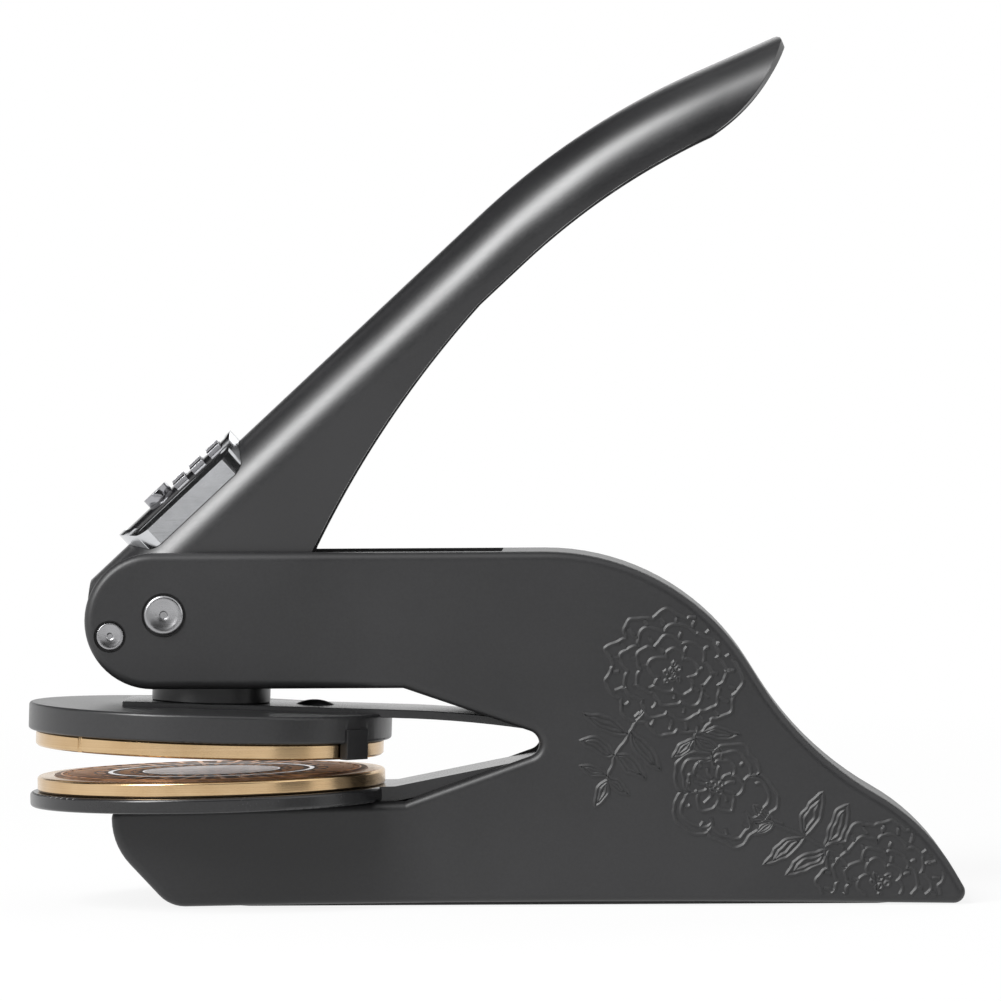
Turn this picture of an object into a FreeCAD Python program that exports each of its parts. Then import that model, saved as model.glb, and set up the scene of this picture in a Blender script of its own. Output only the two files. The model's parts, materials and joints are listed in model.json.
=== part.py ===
"""Desk seal embosser: a cast frame with a lever, a cam and a pair of round dies on a sprung clip.

Millimetres. X runs from the dies (-X) to the tail (+X), Z is up, Y is across.
The origin is under the middle of the object, on the surface that it stands on.
"""

import FreeCAD, Part
import math
import os

V = FreeCAD.Vector
UP = V(0, 0, 1)
ACROSS = V(0, 1, 0)

# driving sizes: the frame casting
total_length = 133.8          # front of the pads to the tip of the tail
frame_width = 21.0            # over both cheeks
cheek_wall = 1.9
edge_radius = 1.3             # rounding of the cheeks' outer edges
arm_bottom = 31.0             # underside of the arm above the sole
arm_top = 50.4
head_setback = 8.6            # front of the pads to the arm's round front end
throat_run = 21.1             # rear of the pads to the throat's end
throat_tip_height = 23.0
throat_tip_radius = 1.9
throat_slope = 20.5           # degrees, of the throat's lower edge
throat_roof_slope = 19.0      # and of its upper edge
deck_front_height = 14.15
deck_tilt = 0.95              # degrees, the deck rises towards the neck
deck_edge_radius = 1.6
heel_overhang = 12.3          # front of the pads to the front of the base
heel_slope = 47.0             # degrees, of the undercut front
heel_radius = 5.0             # under the slope
heel_bulge = 9.5              # over the slope
back_radius = 0.6786 * arm_top    # convex back, hollow and tail, one after the other
back_turn = 58.0
back_straight = 0.0694 * arm_top
hollow_radius = 0.9325 * arm_top
hollow_turn = 28.0
tail_radius = 0.5952 * arm_top
tail_turn = 30.0
tail_tip_radius = 1.6
sole_arch = 0.45              # the bottom edge is arched between heel and tail
floor_web = 2.4               # deck, spine and neck walls
spine_wall = 3.0              # along the top of the back
slot_rear_inset = 6.0         # rear end of the lever slot's opening, ahead of the back's crest
slot_floor_setback = 19.5     # the slot has a floor this far behind the die axis
rib_thickness = 2.0
base_rib_setback = 12.0       # behind the die axis
tail_rib_setback = 26.0       # behind the back's crest
ceiling_setback = 18.0        # the neck's ceiling starts to fall this far ahead of the throat's end
ceiling_flat = 2.0            # and is level from this far ahead of it
ceiling_margin = 1.0          # ceiling behind the leaf's bend and behind the slot's mouth

# driving sizes: sole
sole_thickness = 2.2
sole_side_margin = 1.5
sole_front_margin = 3.6
sole_tail_margin = 7.0

# driving sizes: lower leaf, dies, pad
die_diameter = 50.0
pad_diameter = 52.2
lower_leaf_thickness = 2.1
leaf_edge_radius = 0.5
leaf_bend_setback = 0.5       # behind the pads
leaf_screw_radius = 1.4
leaf_screw_head = 2.7         # countersunk head's top radius
leaf_screw_sunk = 0.3         # head's face below the leaf's top
leaf_screw_lift = 0.1         # countersink's small end above the deck
leaf_screw_fit = 0.02         # radial
leaf_screw_spread = 16.0
lower_die_thickness = 2.25
upper_die_thickness = 2.3
die_face_diameter = 45.0
die_face_height = 0.15        # stands proud of the brass
die_face_depth = 0.8          # sunk in the brass
paper_gap = 0.15              # left between the die faces when pressed
die_chamfer = 0.3
upper_pad_thickness = 3.9
pad_edge_radius = 0.45
leaf_sunk = 0.5               # the leaf lies this deep in a way across the pad
lug_width = 5.0               # lugs behind the upper die
lug_angle = 34.0              # degrees either side of the rear
lug_thickness = 1.2
die_notch_angle = 134.0
leaf_width = 16.6
upper_leaf_thickness = 1.2
leaf_front_reach = 12.2       # leaf's front end ahead of the die axis
leaf_bow = 0.55               # rise of the upper leaf's free length above a straight line
leaf_bead_radius = 1.1        # rolled root of the upper leaf
boss_diameter = 17.0
boss_edge_radius = 0.8
leaf_rivet_offset = 0.3 * die_diameter    # domed rivet behind the die axis
leaf_rivet_radius = 2.8
leaf_rivet_height = 0.7
rivet_shank_radius = 1.5

# driving sizes: clip root in the neck
hinge_setback = 5.3           # leaf root behind the end of the throat
hinge_height = 24.4
clip_block_length = 8.6
clip_jaw = 1.5                # block above and below the rolled root
clip_mouth_angle = 9.0        # degrees, taper of the mouth that the leaf leaves by
clip_screw_radius = 1.5
clip_screw_head_radius = 2.7
clip_screw_head_height = 1.8
clip_screw_depth = 12.0       # head's seat above the sole
clip_row_inset = 2.6          # screw and rivets, ahead of the block's rear face
clip_screw_below = 0.3        # screw's tip under the block's top
clip_rivet_radius = 1.2
clip_rivet_spread = 9.4       # between the two rivets' axes, across

# driving sizes: lever and its pins
pivot_x_offset = -6.1         # pivot ahead of the die axis
pivot_rise = 0.9              # pivot above the arm's middle line
lever_travel = 28.0           # degrees
press_angle = 3.0             # degrees that the press arm turns over the lever's travel
pivot_radius = 2.5
pivot_head_radius = 2.85
pivot_head_height = 1.15
stop_ahead = 7.7              # stop pin ahead of the pivot
stop_below = 3.0
stop_radius = 1.75
stop_head_radius = 2.0
stop_sunk = 0.25              # stop head's face below the cheek
socket_radius = 1.25
stop_socket_radius = 0.8
socket_depth = 0.7
counterbore_clearance = 0.3
counterbore_depth = 0.6
lever_sheet = 1.3
lever_root_radius = 8.0       # crown radius, which is half the channel's width
lever_grip_radius = 9.3
lever_tip_radius = 8.9
lever_slope = 42.8            # degrees
lever_straight = 76.8
lever_bend_radius = 110.0
lever_bend_turn = 19.3
lever_tip_straight = 12.6
grip_depth = 9.3
tip_nose_radius = 0.9         # front of the cut-back tip
tip_cut_length = 13.8         # the tip is cut back this far under its nose
tip_cut_bulge = 1.5           # of the cut's edge over a straight line
lever_foot_ahead = 11.05      # front corner of the channel, ahead of the pivot
lever_foot_above = 4.8
channel_reach = 44.0          # depth of the forms that the channel is cut from
crown_margin = 0.05           # the side outline stands clear of the forms' round crown
bush_wall = 1.0
cam_hub_radius = 6.4
cam_rest_reach = 6.68         # pivot down to the boss's top at rest
cam_heel_gap = 0.08           # cam heel to stop pin at rest
handle_heel_step = 0.25       # channel's lower front edge above the cam's heel
cam_rivet_radius = 1.5
washer_outer_radius = 5.0
washer_thickness = 0.45
lever_side_clearance = 0.6    # channel to cheek, each side

# driving sizes: badge on the channel's crown
badge_start = 7.3             # along the channel from its foot
badge_length = 22.0
badge_half_angle = 41.0       # degrees that it wraps either way
badge_height = 2.0
badge_rim = 1.0
badge_rim_depth = 0.6
badge_foot_bulge = 2.6
badge_head_bulge = 2.1
inlay_thickness = 0.35
emblem_height = 1.3
emblem_radius = 2.1
bar_length = 2.2
bar_pitch = 3.3
bar_height = 0.6
peg_radius = 1.0
peg_spacing = 14.0
push_nut_radius = 2.2
push_nut_thickness = 0.4

# clearances
running = 0.05                # radial, on pins that turn
slip = 0.1                    # between pieces that are only assembled
side_gap = 0.3                # between moving faces

# derived places
half_length = total_length / 2
half_frame = frame_width / 2
half_gap = half_frame - cheek_wall
die_x = -half_length + pad_diameter / 2
base_front = -half_length + heel_overhang
throat_tip_x = die_x + pad_diameter / 2 + throat_run
deck_slope = math.tan(math.radians(deck_tilt))
hinge_x = throat_tip_x + hinge_setback
head_radius = (arm_top - arm_bottom) / 2
pivot_height = (arm_top + arm_bottom) / 2 + pivot_rise
pivot_x = die_x + pivot_x_offset
pivot = V(pivot_x, 0, pivot_height)
stop = V(pivot_x - stop_ahead, 0, pivot_height - stop_below)
hinge = V(hinge_x, 0, hinge_height)
lever_width = 2 * (half_gap - lever_side_clearance)
root_radius = lever_width / 2
bush_radius = pivot_radius + running + bush_wall


def deck_height(x):
    """Height of the tilted deck, which the lower leaf lies on."""
    return deck_front_height + (x - base_front) * deck_slope


def polar(centre, radius, degrees):
    """A point in the XZ plane at an angle from +X towards +Z."""
    a = math.radians(degrees)
    return V(centre.x + radius * math.cos(a), 0, centre.z + radius * math.sin(a))


class Outline:
    """A closed outline in the XZ plane, drawn with a heading: straight lines and tangent arcs."""

    def __init__(self, x, z, heading=0.0):
        self.first = self.at = V(x, 0, z)
        self.heading = heading
        self.edges = []

    def _aim(self, point):
        step = point - self.at
        if step.Length > 1e-9:
            self.heading = math.degrees(math.atan2(step.z, step.x))

    def line_to(self, x, z):
        point = V(x, 0, z)
        self._aim(point)
        self.edges.append(Part.LineSegment(self.at, point).toShape())
        self.at = point
        return self

    def line(self, length):
        a = math.radians(self.heading)
        return self.line_to(self.at.x + length * math.cos(a), self.at.z + length * math.sin(a))

    def arc(self, radius, turn):
        """Turns left by a positive angle, in degrees, and right by a negative one."""
        side = 90.0 if turn > 0 else -90.0
        centre = polar(self.at, radius, self.heading + side)
        middle = polar(centre, radius, self.heading - side + turn / 2)
        end = polar(centre, radius, self.heading - side + turn)
        self.edges.append(Part.Arc(self.at, middle, end).toShape())
        self.at = end
        self.heading += turn
        return self

    def arc_to(self, middle, end):
        """A circular arc through a middle point; each point is (x, z)."""
        a, b = V(middle[0], 0, middle[1]), V(end[0], 0, end[1])
        self.edges.append(Part.Arc(self.at, a, b).toShape())
        self.at = b
        return self

    def curve(self, points):
        """A smooth curve through worked-out points, the first of them where the outline is."""
        spline = Part.BSplineCurve()
        spline.interpolate(points)
        self.edges.append(spline.toShape())
        self.at = points[-1]
        return self

    def face(self):
        if (self.at - self.first).Length > 1e-7:
            self.line_to(self.first.x, self.first.z)
        return Part.Face(Part.Wire(self.edges))

    def prism(self, half_width):
        """The outline as a solid, this far to each side of the middle plane."""
        face = self.face()
        face.translate(V(0, -half_width, 0))
        return face.extrude(V(0, 2 * half_width, 0))


def turned(shape, centre, degrees):
    """A copy turned about a cross axis: positive lifts what lies ahead of the centre, at -X."""
    copy = shape.copy()
    copy.rotate(centre, ACROSS, degrees)
    return copy


def cross_rod(centre, radius, y_from, y_to):
    """A round rod across the object, between two places on Y."""
    return Part.makeCylinder(radius, y_to - y_from, V(centre.x, y_from, centre.z), ACROSS)


def disc(radius, bottom, height, x=None):
    """An upright round disc on the die axis, or on another X."""
    return Part.makeCylinder(radius, height, V(die_x if x is None else x, 0, bottom), UP)


def box(x0, x1, y0, y1, z0, z1):
    return Part.makeBox(x1 - x0, y1 - y0, z1 - z0, V(x0, y0, z0))


def joined(first, *others):
    return first.fuse(list(others)).removeSplitter() if others else first


def edges_where(shape, test):
    return [e for e in shape.Edges if test(e)]


def on_side(edge, y):
    box_ = edge.BoundBox
    return abs(box_.YMin - y) < 1e-6 and abs(box_.YMax - y) < 1e-6


def save(name, shape):
    """Writes one sub-part; a compound holds like pieces that share a node."""
    solids = shape.Solids
    if not solids or not all(s.isValid() for s in solids):
        raise ValueError(name + " isn't a sound solid")
    part = solids[0] if len(solids) == 1 else Part.makeCompound(solids)
    part.exportStep(os.path.join("parts", name + ".step"))
    print(name, len(solids), round(sum(s.Volume for s in solids), 1))


# frame casting

def back_outline(outline):
    """The falling back: a convex shoulder, a hollow, a rounded tail and its tip, down to the bottom."""
    outline.heading = 0.0
    outline.arc(back_radius, -back_turn).line(back_straight)
    outline.arc(hollow_radius, hollow_turn).arc(tail_radius, -tail_turn)
    fall = math.radians(-outline.heading)
    tip_height = tail_tip_radius * (1 + math.cos(fall))
    outline.line((outline.at.z - tip_height) / math.sin(fall))
    return outline.arc(tail_tip_radius, -180 - outline.heading)


def back_reach():
    """From the back's crest to the very tip of the tail."""
    end = back_outline(Outline(0, arm_top)).at
    return end.x + tail_tip_radius


crest_x = half_length - back_reach()


def throat_outline(outline):
    """The throat's lower edge up from the deck, its round tip and its upper edge out to the arm."""
    tip = V(throat_tip_x - throat_tip_radius, 0, throat_tip_height)
    low = polar(tip, throat_tip_radius, throat_slope - 90)
    high = polar(tip, throat_tip_radius, 90 - throat_roof_slope)
    fall = math.tan(math.radians(throat_slope))
    roof_fall = math.tan(math.radians(throat_roof_slope))
    deck_end_x = low.x - (low.z - deck_height(base_front)) / fall + 1.0
    outline.line_to(deck_end_x, deck_height(deck_end_x))
    outline.line_to(low.x, low.z)
    outline.arc_to((throat_tip_x, throat_tip_height), (high.x, high.z))
    return outline.line_to(high.x - (arm_bottom - high.z) / roof_fall, arm_bottom)


def frame_outline():
    """The frame seen from the side, from the heel round the deck, throat, head, back and tail."""
    slope = math.radians(heel_slope)
    rise = heel_radius * (1 - math.cos(slope)) + heel_bulge * math.cos(slope)
    straight = (deck_front_height - deck_edge_radius - rise) / math.sin(slope)
    front = Outline(base_front + heel_depth(), 0.0, 180)
    front.arc(heel_radius, -heel_slope).line(straight).arc(heel_bulge, heel_slope - 90)
    front.arc(deck_edge_radius, deck_tilt - 90)
    throat_outline(front)
    head_x = -half_length + head_setback + head_radius
    front.line_to(head_x, arm_bottom)
    front.heading = 180
    front.arc_to((head_x - head_radius, (arm_bottom + arm_top) / 2), (head_x, arm_top))
    front.line_to(crest_x, arm_top)
    back_outline(front)
    heel_x = base_front + heel_depth()
    return front.arc_to(((front.at.x + heel_x) / 2, sole_arch), (heel_x, 0.0))


def heel_depth():
    """From the front of the deck back to where the base meets the table."""
    slope = math.radians(heel_slope)
    rise = heel_radius * (1 - math.cos(slope)) + heel_bulge * math.cos(slope)
    straight = (deck_front_height - deck_edge_radius - rise) / math.sin(slope)
    return heel_radius * math.sin(slope) + straight * math.cos(slope) + heel_bulge * (1 - math.sin(slope))


def lever_slot():
    """The arm's hollow: open at the head, below over the dies and above for the lever, closed behind."""
    mouth = slot_mouth()
    front, flat = ceiling_run()
    rear = crest_x - slot_rear_inset
    end = clip_back()
    ceiling = arm_top - spine_wall
    slot = Outline(-half_length, arm_bottom - 10).line_to(mouth, arm_bottom - 10)
    slot.line_to(mouth, arm_bottom + floor_web)
    slot.line_to(front, arm_bottom + floor_web)
    slot.line_to(flat, neck_ceiling() + floor_web).line_to(end, neck_ceiling() + floor_web)
    slot.line_to(end, ceiling - 4.0).line_to(crest_x, ceiling).line_to(rear, ceiling)
    return slot.line_to(rear, arm_top + 10).line_to(-half_length, arm_top + 10).prism(half_gap)


def slot_mouth():
    """Where the slot's floor starts behind the boss."""
    return die_x + slot_floor_setback


def ceiling_run():
    """Where the ceiling over the leaves starts to fall from the arm to the neck, and where it's level again."""
    front = max(throat_tip_x - ceiling_setback, leaf_bend_x() + ceiling_margin, slot_mouth() + ceiling_margin)
    return front, max(throat_tip_x - ceiling_flat, front + ceiling_margin)


def neck_ceiling():
    """Top of the way that the leaves go in by."""
    return hinge_height + leaf_bead_radius + clip_jaw + slip


def throat_relief():
    """The way between the cheeks by which the two leaves reach the clip block."""
    back = clip_back() + slip
    floor = clip_floor() - lower_leaf_thickness - slip
    top = neck_ceiling()
    front, flat = ceiling_run()
    way = Outline(leaf_bend_x(), deck_height(leaf_bend_x()))
    way.line_to(clip_back() - clip_block_length, floor).line_to(back, floor)
    way.line_to(back, top).line_to(flat, top).line_to(front, arm_bottom)
    return way.line_to(leaf_bend_x(), arm_bottom).prism(half_gap)


def leaf_bend_x():
    """Where the lower leaf leaves the deck, just behind the pads."""
    return die_x + pad_diameter / 2 + leaf_bend_setback


def clip_back():
    """Rear face of the clip block."""
    return hinge_x + clip_block_length - leaf_bead_radius


def clip_floor():
    """Top of the lower leaf's tail, where the clip block stands."""
    return hinge_height - leaf_bead_radius - clip_jaw


def base_cavity():
    """The hollow under the deck, open below, with the deck above it."""
    low_front = base_front + heel_depth() + 1.0
    front = base_front + spine_wall
    rear = throat_tip_x + 1.0
    roof = deck_front_height - floor_web
    sill = floor_web / 2
    knee = sill + (low_front - front) * math.tan(math.radians(heel_slope))
    cave = Outline(low_front, -1).line_to(rear, -1).line_to(rear, roof).line_to(front, roof)
    return cave.line_to(front, min(knee, roof - 0.5)).line_to(low_front, sill).prism(half_gap)


def tail_cavity():
    """The hollow in the tail, open below, under a spine that follows the back."""
    x0 = hinge_x + clip_block_length + floor_web
    roof_radius = back_radius - spine_wall
    roof = arm_top - spine_wall
    front = min(x0, crest_x) - 1.0
    cave = Outline(front, -1).line_to(front, roof).line_to(crest_x, roof)
    cave.arc(roof_radius, -back_turn).line(back_straight).arc(hollow_radius + spine_wall, hollow_turn)
    end = max(cave.at.x + 1.0, half_length - 13.0)
    cave.line_to(end, 4.0).line_to(end, -1)
    return cave.prism(half_gap).common(box(x0, half_length, -half_frame, half_frame, -2, arm_top))


def cross_rib(x, top):
    """A web across the hollow base, up from the sole."""
    return box(x, x + rib_thickness, -half_gap, half_gap, sole_thickness, top)


def sole_outline(margin):
    """The sole's plan: straight sides with half-round ends, held inside the bottom edge."""
    x0 = base_front + heel_margin() - margin
    x1 = half_length - sole_tail_margin + margin
    half = half_frame - sole_side_margin + margin
    corner = half * 0.6
    wire = [
        Part.LineSegment(V(x0 + corner, -half, 0), V(x1 - corner, -half, 0)),
        Part.Arc(V(x1 - corner, -half, 0), V(x1, 0, 0), V(x1 - corner, half, 0)),
        Part.LineSegment(V(x1 - corner, half, 0), V(x0 + corner, half, 0)),
        Part.Arc(V(x0 + corner, half, 0), V(x0, 0, 0), V(x0 + corner, -half, 0)),
    ]
    return Part.Face(Part.Wire([w.toShape() for w in wire]))


def heel_margin():
    """Front of the base to the front of the sole."""
    return heel_depth() + sole_front_margin


def frame_casting():
    body = frame_outline().prism(half_frame)
    rims = edges_where(body, lambda e: on_side(e, -half_frame) or on_side(e, half_frame))
    body = body.makeFillet(edge_radius, rims)
    body = body.cut(base_cavity()).cut(tail_cavity())
    body = joined(body, cross_rib(die_x + base_rib_setback, deck_front_height - floor_web / 2),
                  cross_rib(crest_x + tail_rib_setback, arm_top - 22))
    pillar = box(hinge_x - 2.5, hinge_x + clip_block_length + floor_web, -half_gap, half_gap,
                 sole_thickness, clip_floor() - lower_leaf_thickness - slip)
    body = joined(body, pillar)
    body = body.cut(lever_slot()).cut(throat_relief())
    sole_seat = sole_outline(slip).extrude(V(0, 0, sole_thickness + 1))
    sole_seat.translate(V(0, 0, -1))
    body = body.cut(sole_seat)
    cuts = [cross_rod(pivot, pivot_radius, -half_frame - 1, half_frame + 1),
            cross_rod(stop, stop_radius, -half_frame - 1, half_frame + 1)]
    for centre, head, depth in ((pivot, pivot_head_radius, counterbore_depth),
                                (stop, stop_head_radius, counterbore_depth + stop_sunk)):
        r = head + counterbore_clearance
        cuts.append(cross_rod(centre, r, -half_frame - 1, -half_frame + depth))
        cuts.append(cross_rod(centre, r, half_frame - depth, half_frame + 1))
    screw = clip_screw_place()
    cuts.append(Part.makeCylinder(clip_screw_radius + slip, clip_floor(), V(screw, 0, 0), UP))
    cuts.append(Part.makeCylinder(clip_screw_head_radius + slip, clip_screw_depth, V(screw, 0, 0), UP))
    for x in leaf_screw_places():
        depth = floor_web + 1.0
        cuts.append(Part.makeCylinder(leaf_screw_radius, depth + 1.0, V(x, 0, deck_height(x) - depth), UP))
    return body.cut(cuts)


def sole_pad():
    pad = sole_outline(0).extrude(V(0, 0, sole_thickness))
    low = edges_where(pad, lambda e: e.BoundBox.ZMax < 1e-6)
    return pad.makeChamfer(0.3, low)


# clip: lower leaf, block in the neck, screws and rivets

def leaf_screw_places():
    """The two screws stand on the die cross rib's line, either side of the die axis."""
    return (die_x - leaf_screw_spread / 2, die_x + leaf_screw_spread / 2)


def clip_screw_place():
    """The screw and the two rivets stand in one row across the block."""
    return clip_back() - clip_row_inset


def on_deck(shape):
    """Lays a shape that was drawn level, on the tilted deck."""
    return turned(shape, V(base_front, 0, deck_front_height), -deck_tilt)


def lower_leaf():
    """Round head on the deck, and a tongue that climbs between the cheeks to the clip block."""
    t = lower_leaf_thickness
    head = on_deck(disc(pad_diameter / 2, deck_front_height, t))
    head = head.makeFillet(leaf_edge_radius, edges_where(head, lambda e: e.Length > pad_diameter))
    floor = clip_floor() - t
    bend = leaf_bend_x()
    end = clip_back()
    level = end - clip_block_length
    tongue = Outline(die_x, deck_height(die_x)).line_to(bend, deck_height(bend))
    tongue.line_to(level, floor).line_to(end, floor).line_to(end, floor + t)
    tongue.line_to(level, floor + t).line_to(bend, deck_height(bend) + t)
    tongue.line_to(die_x, deck_height(die_x) + t)
    strip = tongue.prism(leaf_width / 2)
    plate = joined(head, strip)
    holes = []
    for x in leaf_screw_places():
        low = deck_height(x)
        holes.append(Part.makeCylinder(leaf_screw_radius, 3 * t, V(x, 0, low - t), UP))
        holes.append(Part.makeCone(leaf_screw_radius, leaf_screw_head, t, V(x, 0, low + leaf_screw_lift), UP))
    x = clip_screw_place()
    holes.append(Part.makeCylinder(clip_screw_radius + slip, 3 * t, V(x, 0, floor - t), UP))
    for y in (-clip_rivet_spread / 2, clip_rivet_spread / 2):
        holes.append(Part.makeCylinder(clip_rivet_radius, 3 * t, V(clip_screw_place(), y, floor - t), UP))
    return plate.cut(holes)


def leaf_screws():
    """Two countersunk screws that hold the lower leaf down on the deck."""
    screws = []
    for x in leaf_screw_places():
        low = deck_height(x)
        shank = Part.makeCylinder(leaf_screw_radius - leaf_screw_fit, floor_web + leaf_screw_lift,
                                  V(x, 0, low - floor_web), UP)
        height = lower_leaf_thickness - leaf_screw_sunk
        wide = leaf_screw_radius + (leaf_screw_head - leaf_screw_radius) * height / lower_leaf_thickness
        head = Part.makeCone(leaf_screw_radius - leaf_screw_fit, wide - leaf_screw_fit, height,
                             V(x, 0, low + leaf_screw_lift), UP)
        screws.append(joined(shank, head))
    return Part.makeCompound(screws)


def clip_block():
    """Steel block in the neck with a round groove for the upper leaf's rolled root."""
    block = box(clip_back() - clip_block_length, clip_back(), -leaf_width / 2, leaf_width / 2,
                clip_floor(), neck_ceiling() - slip)
    groove = cross_rod(hinge, leaf_bead_radius + running, -leaf_width, leaf_width)
    spread = (leaf_bead_radius + running) * math.cos(math.radians(clip_mouth_angle))
    reach = 2 * leaf_bead_radius
    flare = reach * math.tan(math.radians(clip_mouth_angle))
    mouth = Outline(hinge_x, hinge_height - spread).line_to(hinge_x - reach, hinge_height - spread - flare)
    mouth.line_to(hinge_x - reach, hinge_height + spread + flare).line_to(hinge_x, hinge_height + spread)
    block = block.cut([groove, mouth.prism(leaf_width)])
    x = clip_screw_place()
    holes = [Part.makeCylinder(clip_screw_radius, 8, V(x, 0, clip_floor() - 1), UP)]
    for y in (-clip_rivet_spread / 2, clip_rivet_spread / 2):
        holes.append(Part.makeCylinder(clip_rivet_radius, 12, V(x, y, clip_floor() - 1), UP))
    return block.cut(holes)


def clip_rivets():
    """Two flush rivets through the block and the lower leaf's tail."""
    low = clip_floor() - lower_leaf_thickness
    high = neck_ceiling() - slip
    pins = [Part.makeCylinder(clip_rivet_radius, high - low, V(clip_screw_place(), y, low), UP)
            for y in (-clip_rivet_spread / 2, clip_rivet_spread / 2)]
    return Part.makeCompound(pins)


def hex_socket(centre, depth, across_radius, direction):
    """A six-sided socket cut into a head, from its face inwards."""
    side = V(1, 0, 0)
    up = direction.cross(side)
    points = []
    for k in range(7):
        a = math.radians(60 * k)
        points.append(centre + side * (across_radius * math.cos(a)) + up * (across_radius * math.sin(a)))
    return Part.Face(Part.makePolygon(points)).extrude(direction * depth)


def clip_screw():
    """Socket screw up through the neck's pillar into the clip block."""
    x = clip_screw_place()
    head = Part.makeCylinder(clip_screw_head_radius, clip_screw_head_height,
                             V(x, 0, clip_screw_depth - clip_screw_head_height), UP)
    tip = neck_ceiling() - slip - clip_screw_below
    shank = Part.makeCylinder(clip_screw_radius, tip - clip_screw_depth, V(x, 0, clip_screw_depth), UP)
    socket = hex_socket(V(x, 0, clip_screw_depth - clip_screw_head_height), 1.0, socket_radius, UP)
    return joined(head, shank).cut(socket)


# dies and the press arm, drawn pressed and then opened by the press angle

def stack(level):
    """Height of a layer of the pressed stack above the deck, on the die axis, before the tilt."""
    layers = {
        "lower die": lower_leaf_thickness,
        "lower face": lower_leaf_thickness + lower_die_thickness,
        "upper face": lower_leaf_thickness + lower_die_thickness + die_face_height + paper_gap,
    }
    layers["upper die"] = layers["upper face"] + die_face_height
    layers["pad"] = layers["upper die"] + upper_die_thickness
    layers["leaf"] = layers["pad"] + upper_pad_thickness - leaf_sunk
    layers["boss"] = layers["leaf"] + upper_leaf_thickness
    lift = (hinge_x - die_x) * math.sin(math.radians(press_angle)) + deck_height(die_x)
    layers["boss top"] = pivot_height - cam_rest_reach - lift
    return deck_front_height + layers[level]


def opened(shape):
    """A pressed piece of the press arm, laid on the deck's tilt and swung open about the leaf root."""
    return turned(on_deck(shape), hinge, press_angle)


def die_ring(bottom, thickness, pocket_from_top):
    """Brass die body: a disc with a shallow pocket for its engraved face, and broken edges."""
    ring = disc(die_diameter / 2, bottom, thickness)
    edges = edges_where(ring, lambda e: e.Length > die_diameter * 2)
    ring = ring.makeChamfer(die_chamfer, edges)
    floor = bottom + thickness - die_face_depth if pocket_from_top else bottom
    return ring.cut(disc(die_face_diameter / 2, floor, die_face_depth))


def lower_die():
    return on_deck(die_ring(stack("lower die"), lower_die_thickness, True))


def die_face(bottom):
    face = disc(die_face_diameter / 2, bottom, die_face_depth + die_face_height)
    return face


def lower_die_face():
    face = die_face(stack("lower face") - die_face_depth)
    groove = disc(die_face_diameter / 2 - 1.2, stack("lower face") + die_face_height - 0.15, 1)
    groove = groove.cut(disc(die_face_diameter / 2 - 1.8, 0, 60))
    return on_deck(face.cut(groove))


def upper_die():
    ring = die_ring(stack("upper die"), upper_die_thickness, False)
    a = math.radians(180 - (180 - die_notch_angle))
    notches = []
    for side in (-1, 1):
        x = die_x + die_diameter / 2 * math.cos(a)
        y = side * die_diameter / 2 * math.sin(a)
        notches.append(Part.makeCylinder(0.4, 40, V(x, y, 0), UP))
    return opened(ring.cut(notches))


def upper_die_face():
    return opened(die_face(stack("upper face")))


def upper_pad():
    """Backing disc over the upper die, with two lugs behind the die's rim."""
    bottom = stack("pad")
    pad = disc(pad_diameter / 2, bottom, upper_pad_thickness)
    edges = edges_where(pad, lambda e: e.Length > pad_diameter * 2)
    pad = pad.makeFillet(pad_edge_radius, edges)
    inner = die_diameter / 2 + slip
    lugs = []
    for side in (-1, 1):
        lug = box(inner, inner + lug_thickness, -lug_width / 2, lug_width / 2,
                  bottom - upper_die_thickness, bottom + upper_pad_thickness / 2)
        lug.rotate(V(0, 0, 0), UP, side * lug_angle)
        lug.translate(V(die_x, 0, 0))
        lugs.append(lug.common(disc(pad_diameter / 2 + 0.3, 0, 60)).cut(disc(inner, 0, bottom)))
    pad = joined(pad, *lugs)
    hole = disc(rivet_shank_radius, 0, 60)
    hole_rear = disc(rivet_shank_radius, 0, 60, die_x + leaf_rivet_offset)
    half = leaf_width / 2 + slip
    way = box(die_x - leaf_front_reach - slip, die_x + pad_diameter, -half, half, stack("leaf"), 60)
    return opened(pad.cut([hole, hole_rear, way]))


def leaf_profile():
    """Side outline of the upper leaf as pressed and level: flat on the pad, then bowed to its root."""
    low = stack("leaf")
    t = upper_leaf_thickness
    root = level_hinge()
    flat_end = die_x + pad_diameter / 2 + 0.5
    front = die_x - leaf_front_reach
    middle_x = (flat_end + root.x) / 2
    middle_z = (low + root.z - t / 2) / 2 + leaf_bow
    leaf = Outline(front, low).line_to(flat_end, low)
    leaf.arc_to((middle_x, middle_z), (root.x, root.z - t / 2))
    leaf.line_to(root.x, root.z + t / 2)
    leaf.arc_to((middle_x, middle_z + t), (flat_end, low + t))
    return leaf.line_to(front, low + t)


def level_hinge():
    """The leaf root's axis in the level drawing that on_deck() tilts."""
    root = V(hinge)
    rod = Part.Vertex(root)
    rod.rotate(V(base_front, 0, deck_front_height), ACROSS, deck_tilt)
    return rod.Point


def upper_leaf():
    """Spring strip with a rolled root, riveted on the pad."""
    strip = leaf_profile().prism(leaf_width / 2)
    root = level_hinge()
    bead = cross_rod(root, leaf_bead_radius, -leaf_width / 2, leaf_width / 2)
    holes = [disc(rivet_shank_radius, 0, 60), disc(rivet_shank_radius, 0, 60, die_x + leaf_rivet_offset)]
    return opened(joined(strip, bead).cut(holes))


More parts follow.
